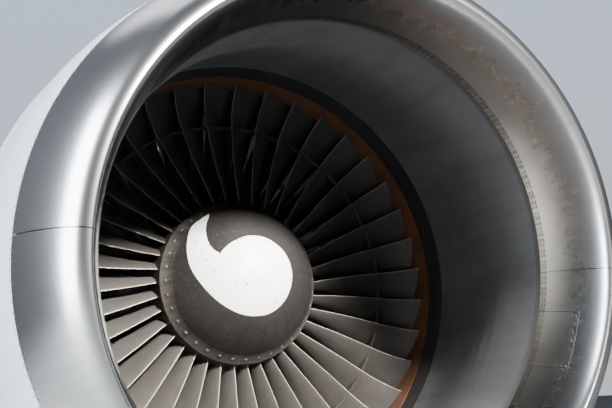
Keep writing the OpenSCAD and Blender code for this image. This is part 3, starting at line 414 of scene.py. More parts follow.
@dataclass
class EffectShop:
    """Builds the shared shader groups, once each."""

    shaft: Shaft
    along_stretch: float = 0.12
    around_stretch: float = 0.012
    around_drift: float = 0.02
    least_radius: float = 0.001
    cloud_range: Point = (0.36, 0.66)
    streak_range: Point = (0.38, 0.7)
    grain_range: Point = (0.3, 0.7)
    chip_edge: float = 26.0
    chip_clusters: float = 9.0
    cluster_range: Point = (0.42, 0.62)

    def build(self) -> None:
        """Makes every group."""
        self.shaft_map()
        self.inlet_map()
        self.weather()
        self.chips()

    def open_group(
        self, effect: Effect, inputs: Iterable[tuple[str, float]], outputs: Iterable[tuple[str, str]]
    ) -> tuple[Wiring, bpy.types.Node, bpy.types.Node]:
        """Opens a group with its sockets.

        Args:
            effect: which group.
            inputs: name and first value of each input.
            outputs: name and socket type of each output.

        Returns:
            The wiring, the input node and the output node.
        """
        tree = bpy.data.node_groups.new(effect.value, "ShaderNodeTree")
        for name, value in inputs:
            socket = tree.interface.new_socket(name, in_out="INPUT", socket_type="NodeSocketFloat")
            socket.default_value = value
        for name, kind in outputs:
            tree.interface.new_socket(name, in_out="OUTPUT", socket_type=kind)
        wiring = Wiring(tree)
        return wiring, wiring.node("NodeGroupInput"), wiring.node("NodeGroupOutput")

    def from_shaft(self, w: Wiring) -> tuple[Socket, Socket, Socket]:
        """The shaded point's distances from the shaft's start.

        Args:
            w: the group's wiring.

        Returns:
            How far the point lies to the right of the shaft, aft of station 0 and above the shaft.
        """
        split = w.node("ShaderNodeSeparateXYZ")
        w.feed(split.inputs[0], w.point())
        x, y, z = split.outputs
        return x, w.minus(y, self.shaft.front), w.minus(z, self.shaft.height)

    def shaft_map(self) -> None:
        """The radius in metres, and vectors whose patterns run fore and aft or round the shaft."""
        vectors = ("Fore And Aft", "NodeSocketVector"), ("Round", "NodeSocketVector")
        w, _, out = self.open_group(Effect.SHAFT_MAP, (), (("Radius", "NodeSocketFloat"), *vectors))
        x, station, up = self.from_shaft(w)
        radius = w.math("MAXIMUM", w.length(x, up), self.least_radius)
        side, rise = w.math("DIVIDE", x, radius), w.math("DIVIDE", up, radius)
        along = w.fill(w.node("ShaderNodeCombineXYZ"), side, w.times(station, self.along_stretch), rise)
        around = w.fill(
            w.node("ShaderNodeCombineXYZ"),
            w.plus(radius, w.times(side, self.around_stretch)),
            w.plus(station, w.times(rise, self.around_stretch)),
            w.times(side, self.around_drift),
        )
        for socket, value in zip(out.inputs, (radius, along, around)):
            w.feed(socket, value)

    def inlet_map(self) -> None:
        """Radius and reach ahead of the flange on the inlet's own drooped axis, in metres."""
        outputs = ("Radius", "NodeSocketFloat"), ("Reach", "NodeSocketFloat")
        w, _, out = self.open_group(Effect.INLET_MAP, (), outputs)
        x, aft, up = self.from_shaft(w)
        tilt = math.radians(self.shaft.droop)
        high = w.minus(w.times(up, math.cos(tilt)), w.times(aft, math.sin(tilt)))
        w.feed(out.inputs[0], w.length(x, high))
        w.feed(out.inputs[1], w.plus(w.times(aft, -math.cos(tilt)), w.times(up, -math.sin(tilt))))

    def weather(self) -> None:
        """Cloudy mottling, fore-and-aft streaks and fine grain, each from 0 to 1."""
        w, source, out = self.open_group(
            Effect.WEATHER,
            (("Cloud Scale", 4.0), ("Streak Scale", 30.0), ("Grain Scale", 400.0)),
            ((name, "NodeSocketFloat") for name in ("Cloud", "Streak", "Grain")),
        )
        along = w.group(Effect.SHAFT_MAP).outputs["Fore And Aft"]
        cloud = w.noise(w.point(), source.outputs["Cloud Scale"], 5.0, 0.6)
        streak = w.noise(along, source.outputs["Streak Scale"], 4.0, 0.6)
        grain = w.noise(w.point(), source.outputs["Grain Scale"], 2.0, 0.6)
        w.feed(out.inputs["Cloud"], w.ramp(cloud, *self.cloud_range))
        w.feed(out.inputs["Streak"], w.ramp(streak, *self.streak_range))
        w.feed(out.inputs["Grain"], w.ramp(grain, *self.grain_range))

    def chips(self) -> None:
        """Small chips and specks that cluster, 1 where the paint is gone."""
        w, source, out = self.open_group(
            Effect.CHIPS, (("Speck Scale", 60.0), ("Cover", 0.66)), (("Chip", "NodeSocketFloat"),)
        )
        speck = w.noise(w.point(), source.outputs["Speck Scale"], 3.0, 0.5)
        cluster = w.ramp(w.noise(w.point(), self.chip_clusters, 2.0), *self.cluster_range)
        edge = w.minus(speck, source.outputs["Cover"])
        w.feed(out.inputs["Chip"], w.times(w.math("MULTIPLY", edge, self.chip_edge, clamp=True), cluster))


@dataclass(frozen=True)
class Finish:
    """One finish of the engine: two tones, their weathering, and the shader's plain values."""

    slot: str
    tone: Colour
    stain: Colour
    metal: float = 0.0
    rough: float = 0.5
    rough_spread: float = 0.12
    cloud: float = 0.5
    cloud_scale: float = 4.0
    streak: float = 0.3
    streak_scale: float = 26.0
    grain: float = 0.08
    grain_scale: float = 500.0
    relief: float = 0.05
    relief_depth: float = 0.0006
    gloss: float = 0.5
    coat: float = 0.0
    coat_rough: float = 0.12

    def weathered(self, w: Wiring) -> Surface:
        """The two tones mixed by the weather.

        Args:
            w: the material's wiring.

        Returns:
            The colour, roughness and grain height.
        """
        scales = (self.cloud_scale, self.streak_scale, self.grain_scale)
        weather = w.group(Effect.WEATHER, **dict(zip(("Cloud Scale", "Streak Scale", "Grain Scale"), scales)))
        cloud = w.times(weather.outputs["Cloud"], self.cloud)
        streak = w.times(weather.outputs["Streak"], self.streak)
        grain = w.times(weather.outputs["Grain"], self.grain)
        share = w.math("ADD", w.plus(cloud, streak), grain, clamp=True)
        rough = w.plus(w.times(share, self.rough_spread), self.rough)
        return w.blend(share, self.tone, self.stain), rough, weather.outputs["Grain"]

    def surface(self, w: Wiring) -> Surface:
        """The colour, roughness and height of the finish, which has nothing but its weather."""
        return self.weathered(w)

    def build(self) -> bpy.types.Material:
        """Builds the material.

        Returns:
            The material, named after the slot.
        """
        material = bpy.data.materials.new(self.slot)
        material.use_nodes = True
        material.diffuse_color = (*self.tone, 1.0)
        w = Wiring(material.node_tree)
        shader = next(n for n in material.node_tree.nodes if n.type == "BSDF_PRINCIPLED")
        colour, rough, height = self.surface(w)
        bump = w.node("ShaderNodeBump")
        for inputs, values in (
            (bump.inputs, {"Strength": self.relief, "Distance": self.relief_depth, "Height": height}),
            (shader.inputs, {
                "Metallic": self.metal, "Specular IOR Level": self.gloss, "Coat Weight": self.coat,
                "Coat Roughness": self.coat_rough, "Base Color": colour, "Roughness": rough,
                "Normal": bump.outputs["Normal"],
            }),
        ):
            for name, value in values.items():
                w.feed(inputs[name], value)
        return material


@dataclass(frozen=True)
class PolishedLip(Finish):
    """Bare metal brushed round the lip, stained grey-brown inside towards the seam, with grime along it."""

    brown: Colour = (0.12, 0.112, 0.102)
    dirt: Colour = (0.07, 0.062, 0.054)
    brush_scale: float = 900.0
    brush_rough: float = 0.03
    swell_scale: float = 70.0
    swell: float = 0.8
    patch_scale: float = 2.6
    patch_width: float = 0.10
    inside: Point = (0.80, 0.72)
    stain_reach: Point = (0.90, 0.66)
    stain_cover: float = 0.4
    stain_rough: float = 0.08
    grime_scale: float = 90.0
    grime_range: Point = (0.3, 0.6)
    grime_cover: Point = (0.25, 0.65)
    grime_edge: Point = (0.032, 0.022)
    seam: float = INNER_SEAM * MM

    def surface(self, w: Wiring) -> Surface:
        """The brushed and stained metal.

        Args:
            w: the material's wiring.

        Returns:
            The colour, roughness and height.
        """
        colour, rough, _ = self.weathered(w)
        shaft, inlet = w.group(Effect.SHAFT_MAP), w.group(Effect.INLET_MAP)
        along, around, reach = shaft.outputs["Fore And Aft"], shaft.outputs["Round"], inlet.outputs["Reach"]
        brush = w.noise(around, self.brush_scale, 3.0, 0.7)
        swell = w.noise(around, self.swell_scale, 2.0, 0.5)
        patch = w.noise(along, self.patch_scale, 1.0, 0.4)
        inner = w.ramp(inlet.outputs["Radius"], *self.inside)
        aft = w.ramp(w.plus(reach, w.sway(patch, self.patch_width)), *self.stain_reach)
        stained = w.times(w.times(inner, aft), self.stain_cover)
        band = w.times(inner, w.ramp(reach, *(self.seam + edge for edge in self.grime_edge)))
        speckle = w.ramp(w.noise(along, self.grime_scale, 3.0, 0.6), *self.grime_range, *self.grime_cover)
        rough = w.plus(w.plus(rough, w.sway(brush, self.brush_rough)), w.times(stained, self.stain_rough))
        tone = w.blend(w.times(band, speckle), w.blend(stained, colour, self.brown), self.dirt)
        return tone, rough, w.plus(brush, w.times(swell, self.swell))


@dataclass(frozen=True)
class SpinnerPaint(Finish):
    """Dark paint worn light towards the spinner's rim, and chipped."""

    worn: Colour = (0.085, 0.077, 0.066)
    rim: Point = (0.262, 0.305)
    ragged_scale: float = 14.0
    ragged_width: float = 0.06
    worn_cover: float = 0.85
    chip_cover: float = 0.6
    speck_scale: float = 150.0
    cover: float = 0.62

    def surface(self, w: Wiring) -> Surface:
        """The worn paint.

        Args:
            w: the material's wiring.

        Returns:
            The colour, roughness and height.
        """
        colour, rough, height = self.weathered(w)
        shaft = w.group(Effect.SHAFT_MAP)
        streaks = w.noise(shaft.outputs["Fore And Aft"], self.ragged_scale, 4.0, 0.6)
        radius = w.plus(shaft.outputs["Radius"], w.sway(streaks, self.ragged_width))
        wear = w.ramp(radius, *self.rim, 0.0, self.worn_cover)
        chip = w.group(Effect.CHIPS, **{"Speck Scale": self.speck_scale, "Cover": self.cover}).outputs["Chip"]
        bare = w.math("MAXIMUM", wear, w.times(chip, self.chip_cover))
        return w.blend(bare, colour, self.worn), rough, height


@dataclass(frozen=True)
class BladeMetal(Finish):
    """Blade metal, dull and darker towards the root, with light leading edges: rain wear, and a painted
    highlight along each edge.
    """

    # Light colour of the leading edges: partly rain wear, partly a painted highlight.
    edge: Colour = (0.50, 0.47, 0.43)
    grime: Colour = (0.05, 0.045, 0.04)
    nick_scale: float = 120.0
    nick: float = 0.3
    edge_from: Point = (0.75, 1.15)
    edge_wear_and_highlight_cover: float = 0.8
    root: Point = (0.36, 0.30)
    root_cover: float = 0.7
    edge_layer: str = "leading_edge"

    def surface(self, w: Wiring) -> Surface:
        """The blade metal; the mask of the edges' wear and painted highlight comes from the blade mesh's own
        layer.

        Args:
            w: the material's wiring.

        Returns:
            The colour, roughness and height.
        """
        colour, rough, height = self.weathered(w)
        edge = w.node("ShaderNodeAttribute", attribute_name=self.edge_layer).outputs["Fac"]
        nick = w.times(w.noise(w.point(), self.nick_scale, 3.0, 0.6), self.nick)
        # Lightens the leading edges: rain wear plus a painted highlight.
        edge_wear_and_highlight = w.times(w.ramp(w.plus(edge, nick), *self.edge_from), self.edge_wear_and_highlight_cover)
        root = w.ramp(w.group(Effect.SHAFT_MAP).outputs["Radius"], *self.root, 0.0, self.root_cover)
        return w.blend(edge_wear_and_highlight, w.blend(root, colour, self.grime), self.edge), rough, height


@dataclass(frozen=True)
class RubStrip(Finish):
    """Abradable filler, scuffed round and round by the blade tips."""

    scuffed: Colour = (0.055, 0.03, 0.018)
    scuff_scale: float = 260.0
    scuff_range: Point = (0.5, 0.72)
    scuff_cover: float = 0.75
    patch_scale: float = 7.0
    patch_range: Point = (0.46, 0.64)
    patch_cover: float = 0.7

    def surface(self, w: Wiring) -> Surface:
        """The scuffed filler.

        Args:
            w: the material's wiring.

        Returns:
            The colour, roughness and height.
        """
        colour, rough, height = self.weathered(w)
        shaft = w.group(Effect.SHAFT_MAP)
        lines = w.noise(shaft.outputs["Round"], self.scuff_scale, 3.0, 0.7)
        patches = w.noise(shaft.outputs["Fore And Aft"], self.patch_scale, 4.0, 0.6)
        scuff = w.ramp(lines, *self.scuff_range, 0.0, self.scuff_cover)
        patch = w.ramp(patches, *self.patch_range, 0.0, self.patch_cover)
        return w.blend(w.math("MAXIMUM", scuff, patch), colour, self.scuffed), rough, height


@dataclass(frozen=True)
class Acoustic(Finish):
    """Sound-absorbing skin, full of holes too small to see one by one, with dirt along the lip's seam."""

    hole_scale: float = 240.0
    hole_edge: float = 0.35
    hole_cover: float = 0.10
    dirt: Colour = (0.04, 0.037, 0.034)
    dirt_edge: Point = (0.026, 0.016)
    dirt_cover: float = 0.8
    seam: float = INNER_SEAM * MM

    def surface(self, w: Wiring) -> Surface:
        """The perforated skin.

        Args:
            w: the material's wiring.

        Returns:
            The colour, roughness and height.
        """
        colour, rough, _ = self.weathered(w)
        holes = w.node("ShaderNodeTexVoronoi", feature="DISTANCE_TO_EDGE")
        w.feed(holes.inputs["Vector"], w.point())
        w.feed(holes.inputs["Scale"], self.hole_scale)
        pore = w.ramp(holes.outputs["Distance"], 0.0, self.hole_edge)
        reach = w.group(Effect.INLET_MAP).outputs["Reach"]
        edge = w.ramp(reach, *(self.seam - back for back in self.dirt_edge), 0.0, self.dirt_cover)
        skin = w.blend(w.times(pore, self.hole_cover), colour, self.stain)
        return w.blend(edge, skin, self.dirt), rough, pore


@dataclass(frozen=True)
class HeatTint(Finish):
    """Hot-section steel with straw and blue bands along its length."""

    straw: Colour = (0.42, 0.27, 0.12)
    blue: Colour = (0.13, 0.14, 0.22)
    band_scale: float = 5.0
    straw_range: Point = (0.4, 0.56)
    straw_cover: float = 0.5
    blue_range: Point = (0.55, 0.68)
    blue_cover: float = 0.45

    def surface(self, w: Wiring) -> Surface:
        """The tinted steel.

        Args:
            w: the material's wiring.

        Returns:
            The colour, roughness and height.
        """
        colour, rough, height = self.weathered(w)
        band = w.noise(w.group(Effect.SHAFT_MAP).outputs["Round"], self.band_scale, 3.0, 0.5)
        straw = w.blend(w.ramp(band, *self.straw_range, 0.0, self.straw_cover), colour, self.straw)
        return w.blend(w.ramp(band, *self.blue_range, 0.0, self.blue_cover), straw, self.blue), rough, height


@dataclass(frozen=True)
class Paint(Finish):
    """Gloss paint with small chips down to the primer."""

    primer: Colour = (0.30, 0.30, 0.29)
    speck_scale: float = 90.0
    cover: float = 0.66

    def surface(self, w: Wiring) -> Surface:
        """The chipped paint.

        Args:
            w: the material's wiring.

        Returns:
            The colour, roughness and height.
        """
        colour, rough, height = self.weathered(w)
        chip = w.group(Effect.CHIPS, **{"Speck Scale": self.speck_scale, "Cover": self.cover}).outputs["Chip"]
        return w.blend(chip, colour, self.primer), rough, height


FINISHES: tuple[Finish, ...] = (
    PolishedLip("polished_lip", (0.56, 0.56, 0.555), (0.38, 0.385, 0.39), metal=1.0, rough=0.25,
                rough_spread=0.04, cloud=0.22, cloud_scale=3.0, streak=0.25, grain=0.05, grain_scale=260.0,
                relief=0.004),
    Finish("primer", (0.30, 0.36, 0.24), (0.22, 0.26, 0.18), rough=0.6),
    Acoustic("grey_acoustic_skin", (0.095, 0.098, 0.106), (0.055, 0.057, 0.062), rough=0.42, rough_spread=0.2,
             cloud=0.55, cloud_scale=2.6, streak=0.45, streak_scale=9.0, relief=0.06),
    Paint("nacelle_paint", (0.66, 0.73, 0.80), (0.50, 0.56, 0.62), rough=0.3, cloud=0.2, cloud_scale=3.0,
          streak=0.35, streak_scale=16.0, grain=0.04, relief=0.02, coat=0.35, cover=0.70),
    Finish("machined_metal", (0.52, 0.52, 0.51), (0.34, 0.34, 0.34), metal=1.0, rough=0.3, streak_scale=60.0),
    Finish("fastener_steel", (0.42, 0.41, 0.39), (0.16, 0.15, 0.14), metal=0.9, rough=0.38, cloud_scale=60.0),
    Finish("case_metal", (0.36, 0.37, 0.36), (0.22, 0.22, 0.21), metal=0.8, rough=0.42, cloud_scale=7.0),
    Finish("black_liner", (0.012, 0.012, 0.013), (0.03, 0.029, 0.028), rough=0.5, cloud_scale=6.0,
           streak=0.4),
    RubStrip("orange_abradable", (0.15, 0.050, 0.018), (0.075, 0.03, 0.014), rough=0.75, cloud=0.6,
             cloud_scale=9.0, relief=0.25),
    Finish("vane_metal", (0.30, 0.30, 0.30), (0.19, 0.19, 0.19), metal=0.8, rough=0.4, cloud_scale=9.0),
    HeatTint("heat_tinted_steel", (0.34, 0.31, 0.28), (0.20, 0.17, 0.14), metal=0.9, rough=0.42,
             cloud_scale=8.0),
    HeatTint("exhaust_metal", (0.30, 0.28, 0.26), (0.16, 0.145, 0.13), metal=0.9, rough=0.4, cloud_scale=4.0,
             streak=0.5, streak_scale=12.0),
    Finish("cast_aluminium", (0.46, 0.46, 0.45), (0.33, 0.33, 0.32), metal=0.7, rough=0.5, grain=0.3,
           grain_scale=700.0, relief=0.4),
    Finish("accessory_grey", (0.24, 0.26, 0.27), (0.15, 0.16, 0.165), metal=0.3, rough=0.45),
    SpinnerPaint("spinner_paint", (0.020, 0.0185, 0.017), (0.012, 0.0115, 0.011), rough=0.42, cloud=0.6,
                 cloud_scale=6.0, streak=0.5, streak_scale=12.0, grain=0.15, relief=0.05, gloss=0.22),
    BladeMetal("blade_metal", (0.062, 0.057, 0.052), (0.038, 0.035, 0.032), metal=0.3, rough=0.48, cloud=0.5,
               cloud_scale=7.0, streak=0.25, grain=0.1, relief=0.05, gloss=0.3),
    Finish("latch_metal", (0.55, 0.56, 0.57), (0.38, 0.39, 0.40), metal=1.0, rough=0.3, cloud_scale=30.0),
    Finish("duct_composite", (0.50, 0.51, 0.51), (0.38, 0.385, 0.385), rough=0.45, cloud_scale=3.0,
           streak=0.4, streak_scale=14.0),
    Paint("spinner_mark", (0.86, 0.86, 0.84), (0.76, 0.75, 0.72), rough=0.4, cloud=0.35, cloud_scale=14.0,
          streak=0.15, grain=0.05, relief=0.02, primer=(0.30, 0.30, 0.28), speck_scale=110.0, cover=0.60),
    # Dark filler; it also paints the shade in the balance screws' holes.
    Finish("seam_filler", (0.03, 0.03, 0.032), (0.06, 0.06, 0.06), rough=0.7),
)


@dataclass
class PaintShop:
    """Holds the built materials and puts them on pieces."""

    built: dict[str, bpy.types.Material] = field(default_factory=dict)

    def build(self) -> None:
        """Builds every finish."""
        for finish in FINISHES:
            self.built[finish.slot] = finish.build()

    def dress(self, piece: bpy.types.Object, finish: str, slot: str | None = None) -> None:
        """Gives a new piece its finish.

        Args:
            piece: the piece.
            finish: the built material's name.
            slot: the record's slot, if it isn't the finish's own; not used.
        """
        piece.data.materials.clear()
        piece.data.materials.append(self.built[finish])

    def dress_frame(self, frame: dict[str, Any], sharp: float = 30.0) -> None:
        """Gives every CAD node its record slot's finish and smooth shading.

        Args:
            sharp: edges sharper than this many degrees stay crisp.
        """
        slots = {row["node"]: row["material_slot"] for row in frame["record"]["subparts"]}
        for name, node in frame["nodes"].items():
            material = self.built[slots[name]]
            if not node.data.materials:
                node.data.materials.append(material)
            for i in range(len(node.data.materials)):
                node.data.materials[i] = material
            soften(node.data, sharp)
        log.info("dressed %d CAD nodes", len(frame["nodes"]))


# ------------------------------------------------------------ inlet


@dataclass
class Inlet:
    """The inlet cowl's polished lip, its seams, fasteners and access plate."""

    shaft: Shaft
    paint: PaintShop
    lip_reach: float = 910.0
    highlight_r: float = 749.0
    throat_reach: float = 496.0
    throat_r: float = 693.0
    crown_reach: float = 96.0
    crown_r: float = 932.0
    fullness: float = 1.17
    inner_seam: float = INNER_SEAM
    outer_seam: float = 616.0
    skin: float = 4.0
    inner_steps: int = 30
    outer_steps: int = 36
    sector_steps: int = 90
    joints: tuple[float, ...] = (1.0, 92.7, 180.0, 273.8)
    joint_gap: float = 2.2
    inner_rows: tuple[float, ...] = (-9.0, 9.0, 22.0)
    inner_rivet: Point = (17.0, 3.0)
    outer_rows: tuple[float, ...] = (-10.0, 10.0)
    outer_rivet: Point = (26.0, 2.7)
    rivet_rise: float = 0.9
    rivet_sides: int = 7
    plate_clocks: Point = (103.0, 117.0)
    plate_reaches: Point = (664.0, 817.0)
    plate_steps: tuple[int, int] = (24, 20)
    plate_lift: float = 0.9
    plate_sink: float = 0.3
    bead_width: float = 2.2
    bead_lift: float = 0.45
    screw_inset: Point = (9.0, 0.75)
    screw_counts: tuple[int, int] = (7, 6)
    screw_head: Point = (2.6, 0.7)

    def inner(self, turn: float, inset: float = 0.0) -> Point:
        """The lip's inner curve, a quarter of an ellipse.

        Args:
            turn: angle from its foremost edge, in degrees.
            inset: how far inside the skin's outer face.

        Returns:
            The radius and station.
        """
        a = math.radians(turn)
        return (
            self.highlight_r - (self.highlight_r - self.throat_r - inset) * math.sin(a),
            -self.throat_reach - (self.lip_reach - self.throat_reach - inset) * math.cos(a),
        )

    def outer(self, turn: float, inset: float = 0.0) -> Point:
        """The lip's outer curve, close to a quarter of an ellipse.

        Args:
            turn: angle from its foremost edge, in degrees.
            inset: how far inside the skin's outer face.

        Returns:
            The radius and station.
        """
        a = math.radians(turn)
        return (
            self.highlight_r + (self.crown_r - self.highlight_r - inset) * math.sin(a),
            -self.crown_reach - (self.lip_reach - self.crown_reach - inset) * math.cos(a) ** self.fullness,
        )

    def inner_turn(self, reach: float) -> float:
        """The inner curve's angle at a distance ahead of the flange."""
        return math.degrees(math.acos((reach - self.throat_reach) / (self.lip_reach - self.throat_reach)))

    def outer_turn(self, reach: float) -> float:
        """The outer curve's angle at a distance ahead of the flange."""
        share = (reach - self.crown_reach) / (self.lip_reach - self.crown_reach)
        return math.degrees(math.acos(share ** (1 / self.fullness)))

    def side(self, curve: Callable[[float], Point], turn: float, step: float = 0.4) -> Point:
        """The way that a curve's skin faces, away from the lip's hollow.

        Args:
            curve: inner or outer.
            turn: angle along the curve.
            step: how far to each side the curve is looked at, in degrees.

        Returns:
            The direction's radius and station.
        """
        (r0, s0), (r1, s1) = curve(turn - step), curve(turn + step)
        length = math.hypot(r1 - r0, s1 - s0)
        across = ((s1 - s0) / length, -(r1 - r0) / length)
        return across if curve == self.outer else (-across[0], -across[1])

    def lip_profile(self) -> list[Point]:
        """The skin's closed section.

        Returns:
            Its points: inner curve, outer curve, and back along the hidden side.
        """
        inner_end, outer_end = self.inner_turn(self.inner_seam), self.outer_turn(self.outer_seam)
        outer_start = outer_end / self.outer_steps
        front = [self.inner(t) for t in spaced(inner_end, 0.0, self.inner_steps)]
        front += [self.outer(t) for t in spaced(outer_start, outer_end, self.outer_steps - 1)]
        back = [self.outer(t, self.skin) for t in spaced(outer_end, outer_start, self.outer_steps - 1)]
        back += [self.inner(t, self.skin) for t in spaced(0.0, inner_end, self.inner_steps)]
        back[0] = (back[0][0], -self.outer_seam)
        back[-1] = (back[-1][0], -self.inner_seam)
        return front + back

    def lip(self) -> None:
        """The lip skin, in four sectors that meet at butt joints."""
        sheet = Sheet()
        profile = self.lip_profile()
        for k, start in enumerate(self.joints):
            end = self.joints[(k + 1) % len(self.joints)]
            end += 360.0 if end < start else 0.0
            half = math.degrees(self.joint_gap / 2 / self.highlight_r)
            clocks = spaced(start + half, end - half, self.sector_steps)
            sheet.skin([[self.shaft.place(r, c, s, True) for r, s in profile] for c in clocks])
        piece = sheet.make("lip_skin_sectors", 40.0)
        self.paint.dress(piece, "polished_lip")
        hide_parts("inlet_lip_skin")
        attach(piece, "root")

    def rivet_row(self, sheet: Sheet, curve: Callable[[float], Point], turn: float, rivet: Point) -> None:
        """One row of flush rivets round a curve of the inlet.

        Args:
            sheet: where the heads go.
            curve: inner or outer.
            turn: angle along the curve.
            rivet: pitch of the rivets and radius of their heads.
        """
        radius, station = curve(turn)
        out = self.side(curve, turn)
        count = round(2 * math.pi * radius / rivet[0])
        for i in range(count):
            clock = 360.0 * (i + 0.5) / count
            centre = self.shaft.place(radius, clock, station, True)
            way = self.shaft.facing(radius, clock, station, out, True)
            sheet.stud(centre, way, rivet[1], self.rivet_rise, self.rivet_sides)

    def rivets(self) -> None:
        """The fastener rows on both sides of the inner seam and of the outer one."""
        sheet = Sheet()
        for offset in self.inner_rows:
            self.rivet_row(sheet, self.inner, self.inner_turn(self.inner_seam + offset), self.inner_rivet)
        for offset in self.outer_rows:
            self.rivet_row(sheet, self.outer, self.outer_turn(self.outer_seam + offset), self.outer_rivet)
        piece = sheet.make("inlet_seam_rivets")
        self.paint.dress(piece, "seam_filler", "fastener_steel")
        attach(piece, "root")

    def plate_sheet(self, grow: float, lift: float) -> Sheet:
        """A patch that lies on the lip's inner skin.

        Args:
            grow: how far it reaches past the plate's own edge, in millimetres.
            lift: how far it stands off the skin.

        Returns:
            The patch as a closed shell.
        """
        extra = math.degrees(grow / self.throat_r)
        clocks = spaced(self.plate_clocks[0] - extra, self.plate_clocks[1] + extra, self.plate_steps[0])
        first, last = self.plate_reaches
        turns = spaced(self.inner_turn(first - grow), self.inner_turn(last + grow), self.plate_steps[1])
        top = [(self.inner(t), self.side(self.inner, t)) for t in turns]
        raised = [(r + n[0] * lift, s + n[1] * lift) for (r, s), n in top]
        sunk = [(r - n[0] * self.plate_sink, s - n[1] * self.plate_sink) for (r, s), n in top]
        section = raised + sunk[::-1]
        sheet = Sheet()
        sheet.skin([[self.shaft.place(r, clock, s, True) for r, s in section] for clock in clocks])
        return sheet

    def access_plate(self) -> None:
        """The rectangular plate inside the lip at the right, in its bead of filler, with its screws."""
        for name, finish, slot, grow, lift in (
            ("lip_access_plate", "polished_lip", "polished_lip", 0.0, self.plate_lift),
            ("lip_access_plate_filler", "seam_filler", "black_liner", self.bead_width, self.bead_lift),
        ):
            piece = self.plate_sheet(grow, lift).make(name)
            self.paint.dress(piece, finish, slot)
            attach(piece, "root")
        screws = Sheet()
        (first, last), (left, right), (down, along) = self.plate_reaches, self.plate_clocks, self.screw_inset
        turns = spaced(self.inner_turn(first + down), self.inner_turn(last - down), self.screw_counts[0])
        clocks = spaced(left + along, right - along, self.screw_counts[1])
        spots = [(t, c) for t in (turns[0], turns[-1]) for c in clocks]
        spots += [(t, c) for t in turns[1:-1] for c in (clocks[0], clocks[-1])]
        for turn, clock in spots:
            radius, station = self.inner(turn)
            out = self.side(self.inner, turn)
            way = self.shaft.facing(radius, clock, station, out, True)
            centre = self.shaft.place(radius, clock, station, True) + way * (self.plate_lift * MM)
            screws.stud(centre, way, *self.screw_head)
        piece = screws.make("lip_access_plate_screws")
        self.paint.dress(piece, "fastener_steel")
        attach(piece, "root")

    def build(self) -> None:
        """Builds the inlet's pieces."""
        self.lip()
        self.rivets()
        self.access_plate()


# ------------------------------------------------------------ fan


